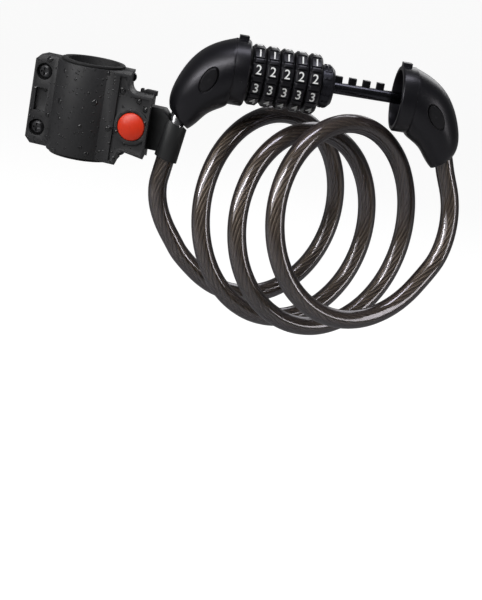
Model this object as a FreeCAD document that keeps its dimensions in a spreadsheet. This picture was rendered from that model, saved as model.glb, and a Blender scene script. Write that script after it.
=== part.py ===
import FreeCAD, Part
import math
import os

import Sketcher

# A coiled cable lock with five dials, carried by a bracket that clamps a seat post.
# Millimetres, with the origin on the post's axis at mid height of the bracket.
# Z runs up the post, X along the barrel of dials, and Y points away from the viewer.

doc = FreeCAD.newDocument("cable_lock")
sheet = doc.addObject("Spreadsheet::Sheet", "size")

# Driving dimensions

DIMENSIONS = [
    # post and bracket
    ("post_radius", 13.6),
    ("liner_wall", 1.5),
    ("liner_lip", 1.3),
    ("seat_gap", 0.1),
    ("shell_wall", 2.9),
    ("shell_height", 47.0),
    ("clamp_gap", 0.8),
    ("bracket_yaw", 20.0),
    ("ear_reach", 29.8),
    ("ear_depth", 5.0),
    ("ear_corner", 3.0),
    ("ear_pocket_width", 6.4),
    ("ear_pocket_height", 12.0),
    ("ear_pocket_depth", 2.0),
    ("clamp_screw_reach", 24.2),
    ("clamp_screw_spread", 29.4),
    ("clamp_screw_radius", 2.0),
    ("clamp_head_radius", 3.8),
    ("clamp_head_height", 2.1),
    ("counterbore_radius", 4.3),
    ("counterbore_depth", 2.3),
    ("cross_width", 1.0),
    ("cross_length", 4.2),
    ("cross_depth", 1.2),
    ("nut_flats", 7.0),
    ("nut_height", 3.0),
    ("block_reach", 38.0),
    ("block_front", 13.0),
    ("block_back", 11.0),
    ("block_top", 14.4),
    ("block_base", 17.5),
    ("block_draft", 0.24),
    ("rear_draft", 0.18),
    ("rear_drop", 0.2),
    ("shoulder_top_reach", 24.8),
    ("shoulder_top_scallop", 4.6),
    ("shoulder_base_reach", 23.5),
    ("shoulder_base_scallop", 3.4),
    ("shoulder_base_rise", 1.6),
    ("rim_width", 1.5),
    ("rim_height", 1.0),
    ("rear_tab_start", 27.0),
    ("rear_tab_end", 35.4),
    ("rear_tab_height", 1.6),
    ("rear_tab_depth", 3.6),
    ("rear_tab_notch", 0.9),
    ("rear_screw_reach", 18.2),
    ("rear_screw_spread", 39.0),
    ("rear_screw_radius", 1.5),
    ("rear_head_radius", 2.8),
    ("rear_head_height", 2.0),
    ("rear_head_sink", 2.4),
    ("rear_screw_length", 17.0),
    # button, latch and carrier
    ("slide_gap", 0.3),
    ("latch_height", -2.3),
    ("button_inset", 8.8),
    ("button_radius", 7.1),
    ("button_rise", 0.5),
    ("button_dome", 2.0),
    ("button_neck", 4.8),
    ("button_flange", 5.9),
    ("button_flange_height", 0.9),
    ("button_web", 0.9),
    ("button_travel", 1.8),
    ("button_boss", 9.3),
    ("stem_radius", 2.0),
    ("tongue_start", 21.6),
    ("tongue_height", 22.0),
    ("tongue_depth", 8.0),
    ("tongue_slot", 4.8),
    ("notch_offset", 1.8),
    ("notch_width", 2.4),
    ("notch_depth", 1.6),
    ("leaf_width", 8.0),
    ("leaf_wall", 0.6),
    ("collar_reach", 47.5),
    ("collar_lean", 7.6),
    ("collar_height", -7.1),
    ("collar_radius", 6.1),
    ("collar_top", 9.4),
    ("collar_base", 9.7),
    ("collar_top_slope", 24.0),
    ("collar_base_slope", 14.6),
    ("cable_radius", 4.8),
    ("cable_clearance", 0.4),
    # elbows and bands
    ("barrel_height", 33.5),
    ("left_face", 77.0),
    ("right_mouth", 155.5),
    ("band_radius", 17.0),
    ("band_width", 7.7),
    ("band_wall", 2.4),
    ("band_edge", 0.7),
    ("tab_length", 4.8),
    ("tab_width", 5.0),
    ("tab_rise", 1.8),
    ("left_tab_inset", 1.6),
    ("right_tab_inset", 0.1),
    ("spigot_depth", 3.5),
    ("socket_radius", 8.8),
    ("socket_depth", 8.0),
    ("inlay_half_length", 7.1),
    ("inlay_half_width", 3.6),
    ("inlay_rise", 0.5),
    ("left_inlay_lean", 24.0),
    ("right_inlay_lean", 37.0),
    ("inlay_reach", 19.5),
    ("inlay_drop", 4.4),
    ("inlay_crown", 15.2),
    ("inlay_sink", 2.0),
    ("ferrule_radius", 4.0),
    ("ferrule_base", 4.9),
    ("ferrule_length", 15.0),
    ("ferrule_foot", 2.4),
    ("right_exit_across", 32.0),
    ("right_exit_height", 3.0),
    ("right_exit_lean", 19.0),
    # dials and code mechanism
    ("dial_first", 81.5),
    ("dial_pitch", 7.3),
    ("dial_clearance", 0.4),
    ("dial_radius", 15.6),
    ("dial_flat", 15.2),
    ("dial_shoulder", 1.5),
    ("dial_shoulder_drop", 1.6),
    ("dial_groove", 0.9),
    ("dial_groove_depth", 0.7),
    ("dial_groove_turn", 12.4),
    ("dial_bore", 9.1),
    ("ring_width", 3.1),
    ("ring_radius", 9.05),
    ("ring_gate", 3.6),
    ("core_bore", 3.3),
    ("core_radius", 5.1),
    ("core_running", 0.06),
    ("core_flange", 14.0),
    ("core_flange_width", 4.0),
    ("core_slot", 3.4),
    ("nose_length", 7.3),
    ("nose_radius", 10.7),
    ("nose_round", 1.8),
    ("nose_bump", 0.5),
    ("nose_bump_width", 1.5),
    ("nose_gap", 0.7),
    ("nose_wall", 0.7),
    ("washer_radius", 9.9),
    ("washer_wall", 0.35),
    ("washer_dish", 0.25),
    # locking pin
    ("pin_radius", 3.05),
    ("pin_tip", 113.6),
    ("pin_cone", 1.6),
    ("pin_depth", 18.6),
    ("tooth_width", 3.0),
    ("tooth_length", 3.9),
    ("tooth_top", 6.3),
    ("tooth_last", 146.25),
    ("anchor_depth", 8.8),
    ("anchor_wall", 2.2),
    # coil
    ("coil_turns", 3.5),
    ("coil_middle_x", 120.7),
    ("coil_middle_y", -17.7),
    ("coil_middle_z", -41.4),
    ("coil_drift_x", 16.65),
    ("coil_drift_y", -20.9),
    ("coil_drift_z", 3.9),
    ("coil_half_width", 52.0),
    ("coil_half_height", 50.9),
    ("coil_swell", 0.021),
    ("coil_rise", 5.4),
    ("coil_yaw", 35.3),
    ("coil_tilt", -7.3),
    ("coil_lean", 2.8),
    ("coil_trim_start", 0.1),
    ("coil_trim_end", 0.1),
    ("cable_straight", 10.0),
]

for row, (alias, number) in enumerate(DIMENSIONS, start=1):
    sheet.set(f"A{row}", alias)
    sheet.set(f"B{row}", str(number))
    sheet.setAlias(f"B{row}", alias)
doc.recompute()

# Derived sizes, each from the driving ones above

DERIVED = [
    ("liner_outer", "post_radius + liner_wall"),
    ("shell_inner", "liner_outer + seat_gap"),
    ("shell_outer", "shell_inner + shell_wall"),
    ("half_height", "shell_height / 2"),
    ("half_gap", "clamp_gap / 2"),
    ("screw_height", "clamp_screw_spread / 2"),
    ("rear_screw_height", "rear_screw_spread / 2"),
    ("tongue_half", "tongue_depth / 2"),
    ("button_reach", "block_reach - button_inset"),
    ("button_seat", "tongue_half + slide_gap + button_travel + button_flange_height"),
    ("button_ledge", "button_seat + button_web"),
    ("notch_reach", "button_reach + notch_offset"),
    ("leaf_room", "leaf_wall + button_travel + notch_depth"),
    ("socket_half", "tongue_half + slide_gap"),
    ("socket_top", "latch_height + tongue_height / 2 + slide_gap"),
    ("socket_base", "latch_height - tongue_height / 2 - slide_gap"),
    ("socket_start", "tongue_start - 4 * slide_gap"),
    ("waist_shift", "block_front * block_draft + slide_gap"),
    ("collar_x", "collar_reach * cos(bracket_yaw)"),
    ("barrel_y", "-collar_reach * sin(bracket_yaw)"),
    ("band_inner", "band_radius - band_wall"),
    ("spigot_radius", "band_inner - seat_gap"),
    ("collar_bore", "cable_radius + cable_clearance"),
    ("dial_width", "dial_pitch - dial_clearance"),
    ("row_end", "dial_first + 4.5 * dial_pitch"),
    ("core_end", "row_end + nose_length"),
    ("spigot_start", "left_face - band_width"),
]
for row, (alias, formula) in enumerate(DERIVED, start=len(DIMENSIONS) + 1):
    sheet.set(f"A{row}", alias)
    sheet.set(f"B{row}", "=" + formula)
    sheet.setAlias(f"B{row}", alias)
    doc.recompute()


def value(text):
    """Number that an expression in the sheet's names gives."""
    return float(sheet.evalExpression(text))


def named(name):
    """Number in one named cell."""
    return float(getattr(sheet, name))


def bind(item, target, text):
    """Ties a property of an object to an expression in the sheet's names."""
    item.setExpression(target, text)


def vector(x, y, z):
    return FreeCAD.Vector(x, y, z)


UP = vector(0, 0, 1)
ACROSS = vector(1, 0, 0)
BACK = vector(0, 1, 0)
BRACKET = FreeCAD.Placement(vector(0, 0, 0), FreeCAD.Rotation(UP, -named("bracket_yaw")))
BARREL = FreeCAD.Placement(vector(0, named("barrel_y"), named("barrel_height")), FreeCAD.Rotation())


# Builders for bodies and sketches


def new_body(label, placement):
    body = doc.addObject("PartDesign::Body", label)
    body.Label = label
    body.Placement = placement
    return body


def new_sketch(body, role, offset=None):
    """Sketch on one of the body's own planes, moved off it by an expression if one is given."""
    plane = [item for item in body.Origin.OriginFeatures if item.Role == role][0]
    sketch = body.newObject("Sketcher::SketchObject", "outline")
    sketch.AttachmentSupport = [(plane, "")]
    sketch.MapMode = "FlatFace"
    if offset is not None:
        bind(sketch, "AttachmentOffset.Base.z", offset)
    return sketch


def pin_point(sketch, index, position, corner):
    """Holds one point of a sketch at a corner given as two expressions."""
    for kind, axis, text in (("DistanceX", -2, corner[0]), ("DistanceY", -1, corner[1])):
        if text == "0":
            sketch.addConstraint(Sketcher.Constraint("PointOnObject", index, position, axis))
            continue
        held = Sketcher.Constraint(kind, -1, 1, index, position, value(text))
        number = sketch.addConstraint(held)
        bind(sketch, f"Constraints[{number}]", text)


def flat(corner):
    return vector(value(corner[0]), value(corner[1]), 0)


def ends_of(corner):
    """Point numbers of an edge's start and end: a clockwise arc is stored the other way round."""
    if len(corner) > 2 and corner[3] < 0:
        return (2, 1)
    return (1, 2)


def draw_outline(sketch, corners):
    """Closed outline. A corner is two expressions, and a third and fourth give the radius of an
    arc to the next corner and the side its centre lies on: 1 to the left, -1 to the right."""
    first = sketch.GeometryCount
    count = len(corners)
    for place, corner in enumerate(corners):
        start = flat(corner)
        end = flat(corners[(place + 1) % count])
        if len(corner) == 2:
            sketch.addGeometry(Part.LineSegment(start, end), False)
            continue
        radius = value(corner[2])
        side = corner[3]
        chord = end - start
        normal = vector(-chord.y, chord.x, 0)
        normal.normalize()
        height = math.sqrt(radius ** 2 - (chord.Length / 2) ** 2)
        centre = start + chord * 0.5 + normal * side * height
        middle = centre - normal * side * radius
        sketch.addGeometry(Part.Arc(start, middle, end), False)
    for place, corner in enumerate(corners):
        follower = (place + 1) % count
        this_end = ends_of(corner)[1]
        next_start = ends_of(corners[follower])[0]
        joint = Sketcher.Constraint("Coincident", first + place, this_end, first + follower, next_start)
        sketch.addConstraint(joint)
    for place, corner in enumerate(corners):
        pin_point(sketch, first + place, ends_of(corner)[0], corner)
        if len(corner) > 2:
            held = Sketcher.Constraint("Radius", first + place, value(corner[2]))
            number = sketch.addConstraint(held)
            bind(sketch, f"Constraints[{number}]", corner[2])


def draw_box(sketch, left, right, low, high):
    draw_outline(sketch, [(left, low), (right, low), (right, high), (left, high)])


def draw_circle(sketch, centre, radius):
    index = sketch.addGeometry(Part.Circle(flat(centre), vector(0, 0, 1), value(radius)), False)
    pin_point(sketch, index, 3, centre)
    held = Sketcher.Constraint("Radius", index, value(radius))
    number = sketch.addConstraint(held)
    bind(sketch, f"Constraints[{number}]", radius)


def add_feature(body, kind, sketch, length=None, side="One side", reverse=False):
    """Pad or pocket of a sketch, through everything if no length is given."""
    feature = body.newObject("PartDesign::" + kind, kind.lower())
    feature.Profile = sketch
    if length is None:
        feature.Type = "ThroughAll"
    else:
        bind(feature, "Length", length)
    feature.SideType = side
    feature.Reversed = reverse
    return feature


def add_turned(body, kind, sketch, axis, angle=360):
    """Revolution or groove of a sketch about one of its own axes."""
    feature = body.newObject("PartDesign::" + kind, kind.lower())
    feature.Profile = sketch
    feature.ReferenceAxis = (sketch, [axis])
    feature.Angle = angle
    return feature


def repeat_about(body, original, role, count):
    pattern = body.newObject("PartDesign::PolarPattern", "around")
    pattern.Originals = [original]
    line = [item for item in body.Origin.OriginFeatures if item.Role == role][0]
    pattern.Axis = (line, [""])
    pattern.Angle = 360
    pattern.Occurrences = count
    body.Tip = pattern
    return pattern


def repeat_along(body, original, role, step, count):
    pattern = body.newObject("PartDesign::LinearPattern", "along")
    pattern.Originals = [original]
    line = [item for item in body.Origin.OriginFeatures if item.Role == role][0]
    pattern.Direction = (line, [""])
    pattern.Mode = "Spacing"
    bind(pattern, "Offset", step)
    pattern.Occurrences = count
    body.Tip = pattern
    return pattern


def mirror_pair(label, one):
    """A piece and its twin below the bracket's mid height, as one node of two solids."""
    twin = doc.addObject("Part::Mirroring", label + "_twin")
    twin.Source = one
    twin.Base = vector(0, 0, 0)
    twin.Normal = UP
    pair = doc.addObject("Part::Compound", label)
    pair.Links = [one, twin]
    pair.Label = label
    return pair


def combine(kind, label, base, tool):
    result = doc.addObject("Part::" + kind, label)
    result.Base = base
    result.Tool = tool
    result.Label = label
    return result


def round_bar(label, radius, length, placement):
    bar = doc.addObject("Part::Cylinder", label)
    bind(bar, "Radius", radius)
    bind(bar, "Height", length)
    bar.Placement = placement
    return bar


nodes = []


def keep(item):
    """Puts a finished sub-part on the list of those written out."""
    nodes.append(item)
    return item


# Bracket: two shells around the post, a rubber liner, and the screws that close them.
# Their bodies are turned by the yaw: x runs out to the carrier and -y is the front.


def shell_plan(sign, block_depth):
    """Plan of one shell: ear, half ring round the liner, and the block for the latch."""
    near = f"{sign} * size.half_gap"
    ear = f"{sign} * size.ear_depth"
    block = f"{sign} * size.{block_depth}"
    ear_foot = "-sqrt(size.shell_outer ^ 2 - size.ear_depth ^ 2)"
    block_foot = f"sqrt(size.shell_outer ^ 2 - size.{block_depth} ^ 2)"
    bore_edge = "sqrt(size.shell_inner ^ 2 - size.half_gap ^ 2)"
    turn = -sign
    return [
        ("-size.ear_reach", near),
        ("-size.ear_reach", ear),
        (ear_foot, ear, "size.shell_outer", turn),
        (block_foot, block),
        ("size.block_reach", block),
        ("size.block_reach", near),
        (bore_edge, near, "size.shell_inner", sign),
        ("-" + bore_edge, near),
    ]


def trim_block(body, start, shift, heading):
    """Cuts away what lies outside the block's front view: a scallop at each shoulder and the
    end face, all drawn back towards the post by the draft of the heading."""
    outline = new_sketch(body, "XZ_Plane", start)
    beyond = "size.half_height + 20"
    top_end = f"size.shoulder_top_reach + size.shoulder_top_scallop - {shift}"
    base_end = f"size.shoulder_base_reach + size.shoulder_base_scallop - {shift}"
    base_level = "-size.block_base + size.shoulder_base_rise"
    draw_outline(outline, [
        (f"size.shoulder_top_reach - {shift}", beyond),
        (f"size.shoulder_top_reach - {shift}", "size.block_top + size.shoulder_top_scallop",
         "size.shoulder_top_scallop", 1),
        (top_end, "size.block_top"),
        (f"size.block_reach - {shift}", "size.block_top"),
        (f"size.block_reach - {shift}", "-size.block_base"),
        (base_end, base_level, "size.shoulder_base_scallop", 1),
        (f"size.shoulder_base_reach - {shift}", f"{base_level} - size.shoulder_base_scallop"),
        (f"size.shoulder_base_reach - {shift}", "-" + f"({beyond})"),
        ("2 * size.block_reach", "-" + f"({beyond})"),
        ("2 * size.block_reach", beyond),
    ])
    trim = add_feature(body, "Pocket", outline, "2 * size.block_front")
    trim.UseCustomVector = True
    trim.Direction = heading


def cut_ear_corners(body):
    """Slopes the two outer corners of the ear."""
    for sign in ("", "-"):
        corner = new_sketch(body, "XZ_Plane")
        draw_outline(corner, [
            ("-size.ear_reach - 1", f"{sign}(size.half_height + 1)"),
            ("-size.ear_reach - 1", f"{sign}(size.half_height - size.ear_corner - 1)"),
            ("-size.ear_reach + size.ear_corner + 1", f"{sign}(size.half_height + 1)"),
        ])
        add_feature(body, "Pocket", corner, side="Symmetric")


def drill_pair(body, reach, height, radius):
    """Two holes straight through the shell, above and below mid height."""
    holes = new_sketch(body, "XZ_Plane")
    draw_circle(holes, (reach, height), radius)
    draw_circle(holes, (reach, "-" + height), radius)
    add_feature(body, "Pocket", holes, side="Symmetric")


def sink_pair(body, reach, height, radius, start, depth, reverse):
    """Two blind seats in a face of the shell."""
    seats = new_sketch(body, "XZ_Plane", start)
    draw_circle(seats, (reach, height), radius)
    draw_circle(seats, (reach, "-" + height), radius)
    add_feature(body, "Pocket", seats, depth, reverse=reverse)


def make_front_shell():
    body = new_body("bracket_front_shell", BRACKET)
    plan = new_sketch(body, "XY_Plane")
    draw_outline(plan, shell_plan(-1, "block_front"))
    add_feature(body, "Pad", plan, "size.shell_height", side="Symmetric")
    cut_ear_corners(body)
    # recess in the block's face, which leaves a rim along its edges
    floor = new_sketch(body, "XZ_Plane", "size.block_front - size.rim_height")
    inner = "size.shell_outer + size.rim_width"
    draw_outline(floor, [
        (inner, "size.half_height - size.rim_width"),
        (inner, "-size.half_height + size.rim_width"),
        ("size.shoulder_base_reach - size.rim_width", "-size.half_height + size.rim_width"),
        ("size.shoulder_base_reach - size.rim_width",
         "-size.block_base + size.shoulder_base_rise - size.shoulder_base_scallop",
         "size.shoulder_base_scallop + size.rim_width", -1),
        ("size.shoulder_base_reach + size.shoulder_base_scallop",
         "-size.block_base + size.shoulder_base_rise + size.rim_width"),
        ("size.block_reach - size.rim_width", "-size.block_base + size.rim_width"),
        ("size.block_reach - size.rim_width", "size.block_top - size.rim_width"),
        ("size.shoulder_top_reach + size.shoulder_top_scallop", "size.block_top - size.rim_width",
         "size.shoulder_top_scallop + size.rim_width", -1),
        ("size.shoulder_top_reach - size.rim_width", "size.block_top + size.shoulder_top_scallop"),
        ("size.shoulder_top_reach - size.rim_width", "size.half_height - size.rim_width"),
    ])
    add_feature(body, "Pocket", floor, "size.rim_height + 1", reverse=True)
    boss = new_sketch(body, "XZ_Plane", "size.button_seat + size.slide_gap")
    draw_circle(boss, ("size.button_reach", "size.latch_height"), "size.button_boss")
    add_feature(body, "Pad", boss, "size.block_front - size.button_seat - size.slide_gap")
    trim_block(body, "size.block_front + 1", "(-size.block_draft)", vector(-named("block_draft"), 1, 0))
    # socket for the tongue, and the stepped bore of the button
    socket = new_sketch(body, "XZ_Plane", "size.half_gap - 1")
    draw_box(socket, "size.socket_start", "size.block_reach + 2", "size.socket_base", "size.socket_top")
    add_feature(body, "Pocket", socket, "size.socket_half - size.half_gap + 1", reverse=True)
    seat = new_sketch(body, "XZ_Plane", "size.tongue_half")
    draw_circle(seat, ("size.button_reach", "size.latch_height"), "size.button_flange + size.slide_gap")
    add_feature(body, "Pocket", seat, "size.button_seat - size.tongue_half", reverse=True)
    web = new_sketch(body, "XZ_Plane", "size.tongue_half")
    draw_circle(web, ("size.button_reach", "size.latch_height"), "size.button_neck + size.slide_gap")
    add_feature(body, "Pocket", web, "size.block_front", reverse=True)
    bore = new_sketch(body, "XZ_Plane", "size.button_ledge")
    draw_circle(bore, ("size.button_reach", "size.latch_height"), "size.button_radius + size.slide_gap")
    add_feature(body, "Pocket", bore, "size.block_front", reverse=True)
    # screw seats, and the recess between them in the ear
    drill_pair(body, "-size.clamp_screw_reach", "size.screw_height", "size.clamp_screw_radius + size.seat_gap")
    sink_pair(body, "-size.clamp_screw_reach", "size.screw_height", "size.counterbore_radius",
              "size.ear_depth - size.counterbore_depth", "size.counterbore_depth + 1", True)
    recess = new_sketch(body, "XZ_Plane", "size.ear_depth - size.ear_pocket_depth")
    draw_box(recess, "-size.clamp_screw_reach - size.ear_pocket_width / 2",
             "-size.clamp_screw_reach + size.ear_pocket_width / 2",
             "-size.ear_pocket_height / 2", "size.ear_pocket_height / 2")
    add_feature(body, "Pocket", recess, "size.ear_pocket_depth + 1", reverse=True)
    threads = new_sketch(body, "XZ_Plane", "size.half_gap - 1")
    for sign in ("", "-"):
        draw_circle(threads, ("size.rear_screw_reach", sign + "size.rear_screw_height"),
                    "size.rear_screw_radius + size.seat_gap")
    add_feature(body, "Pocket", threads,
                "size.rear_screw_length - size.block_back + size.rear_head_sink + 2", reverse=True)
    return keep(body)


def make_rear_shell():
    body = new_body("bracket_rear_shell", BRACKET)
    plan = new_sketch(body, "XY_Plane")
    draw_outline(plan, shell_plan(1, "block_back"))
    add_feature(body, "Pad", plan, "size.shell_height", side="Symmetric")
    cut_ear_corners(body)
    trim_block(body, "0 * size.half_gap", "size.waist_shift", vector(-named("rear_draft"), 1, -named("rear_drop")))
    # tab that stands above the front block, with its notch
    tab = new_sketch(body, "XZ_Plane", "-size.half_gap")
    draw_outline(tab, [
        ("size.rear_tab_start", "size.block_top - 1"),
        ("size.rear_tab_end", "size.block_top - 1"),
        ("size.rear_tab_end", "size.block_top + size.rear_tab_height"),
        ("size.rear_tab_start + 3 * size.rear_tab_notch", "size.block_top + size.rear_tab_height"),
        ("size.rear_tab_start + 3 * size.rear_tab_notch", "size.block_top + size.rear_tab_notch"),
        ("size.rear_tab_start + size.rear_tab_notch", "size.block_top + size.rear_tab_notch"),
        ("size.rear_tab_start + size.rear_tab_notch", "size.block_top + size.rear_tab_height"),
        ("size.rear_tab_start", "size.block_top + size.rear_tab_height"),
    ])
    add_feature(body, "Pad", tab, "size.rear_tab_depth", reverse=True)
    # socket for the tongue, and the room in which the leaf bends
    socket = new_sketch(body, "XZ_Plane", "-size.half_gap + 1")
    draw_box(socket, "size.socket_start", "size.block_reach + 2", "size.socket_base", "size.socket_top")
    add_feature(body, "Pocket", socket, "size.socket_half - size.half_gap + 1")
    room = new_sketch(body, "XZ_Plane", "-size.tongue_half")
    draw_box(room, "size.socket_start", "size.block_reach + 2",
             "size.latch_height - size.leaf_width / 2 - size.slide_gap",
             "size.latch_height + size.leaf_width / 2 + size.slide_gap")
    add_feature(body, "Pocket", room, "size.leaf_room")
    # screw holes with hexagonal seats for the nuts
    drill_pair(body, "-size.clamp_screw_reach", "size.screw_height", "size.clamp_screw_radius + size.seat_gap")
    for sign in ("", "-"):
        seat = new_sketch(body, "XZ_Plane", "-size.ear_depth + size.nut_height")
        across = "(size.nut_flats / 2 + size.seat_gap)"
        corners = []
        for step in range(6):
            turn = 60 * step + 30
            reach = f"-size.clamp_screw_reach + {across} / cos(30) * cos({turn})"
            height = f"{sign}size.screw_height + {across} / cos(30) * sin({turn})"
            corners.append((reach, height))
        draw_outline(seat, corners)
        add_feature(body, "Pocket", seat, "size.nut_height + 1")
    drill_pair(body, "size.rear_screw_reach", "size.rear_screw_height", "size.rear_screw_radius + size.seat_gap")
    sink_pair(body, "size.rear_screw_reach", "size.rear_screw_height", "size.rear_head_radius + size.seat_gap",
              "-size.block_back + size.rear_head_sink", "size.rear_head_sink + 1", False)
    return keep(body)


def make_liner(label, turn):
    """Rubber half sleeve with a lip over each end of the shell."""
    body = new_body(label, FreeCAD.Placement(
        vector(0, 0, 0), FreeCAD.Rotation(UP, turn - named("bracket_yaw"))))
    profile = new_sketch(body, "XZ_Plane")
    end = "size.half_height + size.seat_gap + size.liner_lip"
    ledge = "size.half_height + size.seat_gap"
    lip = "size.liner_outer + size.liner_lip"
    draw_outline(profile, [
        ("size.post_radius", "-" + "(" + end + ")"),
        (lip, "-(" + end + ")"),
        (lip, "-(" + ledge + ")"),
        ("size.liner_outer", "-(" + ledge + ")"),
        ("size.liner_outer", ledge),
        (lip, ledge),
        (lip, end),
        ("size.post_radius", end),
    ])
    liner_arc = 174
    add_turned(body, "Revolution", profile, "V_Axis", liner_arc)
    return keep(body)


def make_screw(label, radius, length, head_radius, head_height, dome, placement):
    """Cross headed screw standing on its own Z axis, its head's seat at the origin."""
    body = new_body(label, placement)
    profile = new_sketch(body, "XZ_Plane")
    draw_outline(profile, [
        ("0", "-" + length),
        (radius, "-" + length),
        (radius, "0"),
        (head_radius, "0"),
        (head_radius, f"{head_height} * (1 - {dome})"),
        (f"{head_radius} * 0.62", head_height),
        ("0", head_height),
    ])
    add_turned(body, "Revolution", profile, "V_Axis")
    for wide, deep in (("size.cross_width", "size.cross_length"), ("size.cross_length", "size.cross_width")):
        cross = new_sketch(body, "XY_Plane", f"{head_height} - size.cross_depth")
        share = f"{head_radius} / size.clamp_head_radius"
        draw_box(cross, f"-{wide} / 2 * {share}", f"{wide} / 2 * {share}",
                 f"-{deep} / 2 * {share}", f"{deep} / 2 * {share}")
        add_feature(body, "Pocket", cross, "size.cross_depth + 1", reverse=True)
    return body


def facing(front_reach, out, height, towards_front):
    """Placement in the bracket with local Z out of its front or its back."""
    turn = 90 if towards_front else -90
    local = FreeCAD.Placement(vector(out, -front_reach, height), FreeCAD.Rotation(ACROSS, turn))
    return BRACKET.multiply(local)


def make_fasteners():
    seat = value("size.ear_depth - size.counterbore_depth")
    length = "(2 * size.ear_depth - size.counterbore_depth - size.seat_gap)"
    place = facing(seat, -named("clamp_screw_reach"), named("screw_height"), True)
    screw = make_screw("clamp_screw", "size.clamp_screw_radius", length,
                       "size.clamp_head_radius", "size.clamp_head_height", "0.55", place)
    keep(mirror_pair("clamp_screws", screw))

    back = value("-size.ear_depth + size.nut_height")
    place = facing(back, -named("clamp_screw_reach"), named("screw_height"), False)
    prism = doc.addObject("Part::Prism", "nut_blank")
    prism.Polygon = 6
    bind(prism, "Circumradius", "size.nut_flats / 2 / cos(30)")
    bind(prism, "Height", "size.nut_height - size.seat_gap")
    prism.Placement = place.multiply(FreeCAD.Placement(vector(0, 0, 0), FreeCAD.Rotation(UP, 30)))
    drill = round_bar("nut_drill", "size.clamp_screw_radius + size.seat_gap", "size.nut_height * 3",
                      place.multiply(FreeCAD.Placement(vector(0, 0, -named("nut_height")), FreeCAD.Rotation())))
    nut = combine("Cut", "clamp_nut", prism, drill)
    keep(mirror_pair("clamp_nuts", nut))

    rear_seat = value("-size.block_back + size.rear_head_sink")
    place = facing(rear_seat, named("rear_screw_reach"), named("rear_screw_height"), False)
    screw = make_screw("rear_screw", "size.rear_screw_radius", "size.rear_screw_length",
                       "size.rear_head_radius", "size.rear_head_height", "0.35", place)
    keep(mirror_pair("rear_screws", screw))


# Latch: a domed button whose stem passes through the tongue and pushes a leaf off its notch


def make_button():
    place = facing(0, named("button_reach"), named("latch_height"), True)
    body = new_body("release_button", place)
    profile = new_sketch(body, "XZ_Plane")
    flange_low = "size.button_seat - size.seat_gap - size.button_flange_height"
    flange_high = "size.button_seat - size.seat_gap"
    cap_low = "size.button_ledge + size.button_travel + size.seat_gap"
    rim = "size.block_front + size.button_rise"
    top = "size.block_front + size.button_rise + size.button_dome"
    dome = "(size.button_radius ^ 2 + size.button_dome ^ 2) / (2 * size.button_dome)"
    draw_outline(profile, [
        ("0", "-size.tongue_half - size.slide_gap / 2"),
        ("size.stem_radius", "-size.tongue_half - size.slide_gap / 2"),
        ("size.stem_radius", flange_low),
        ("size.button_flange", flange_low),
        ("size.button_flange", flange_high),
        ("size.button_neck", flange_high),
        ("size.button_neck", cap_low),
        ("size.button_radius", cap_low),
        ("size.button_radius", rim, dome, 1),
        ("0", top),
    ])
    add_turned(body, "Revolution", profile, "V_Axis")
    return keep(body)


def make_latch_spring():
    """Leaf spring behind the tongue, hooked at its root and bent up into a catch at its tip."""
    body = new_body("latch_spring", BRACKET.multiply(FreeCAD.Placement(
        vector(0, 0, named("latch_height")), FreeCAD.Rotation())))
    profile = new_sketch(body, "XY_Plane")
    near = "size.tongue_half + size.slide_gap"
    far = f"{near} + size.leaf_wall"
    root = "size.socket_start + size.slide_gap"
    catch = "size.notch_reach + size.slide_gap"
    catch_end = "size.notch_reach + size.notch_width - size.slide_gap"
    draw_outline(profile, [
        (root, near),
        (catch, near),
        (catch, "size.tongue_half - size.notch_depth + size.slide_gap"),
        (f"{catch} + size.leaf_wall", "size.tongue_half - size.notch_depth + size.slide_gap"),
        (catch_end, near),
        (catch_end, far),
        (f"{root} + size.leaf_wall", far),
        (f"{root} + size.leaf_wall", "size.tongue_half + size.leaf_room - size.slide_gap"),
        (root, "size.tongue_half + size.leaf_room - size.slide_gap"),
    ])
    add_feature(body, "Pad", profile, "size.leaf_width", side="Symmetric")
    return keep(body)


def collar_frame():
    """Placement of the collar: its axis leans in the plane of the barrel."""
    lean = FreeCAD.Rotation(BACK, named("collar_lean"))
    return FreeCAD.Placement(vector(named("collar_x"), named("barrel_y"), named("collar_height")), lean)


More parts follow.
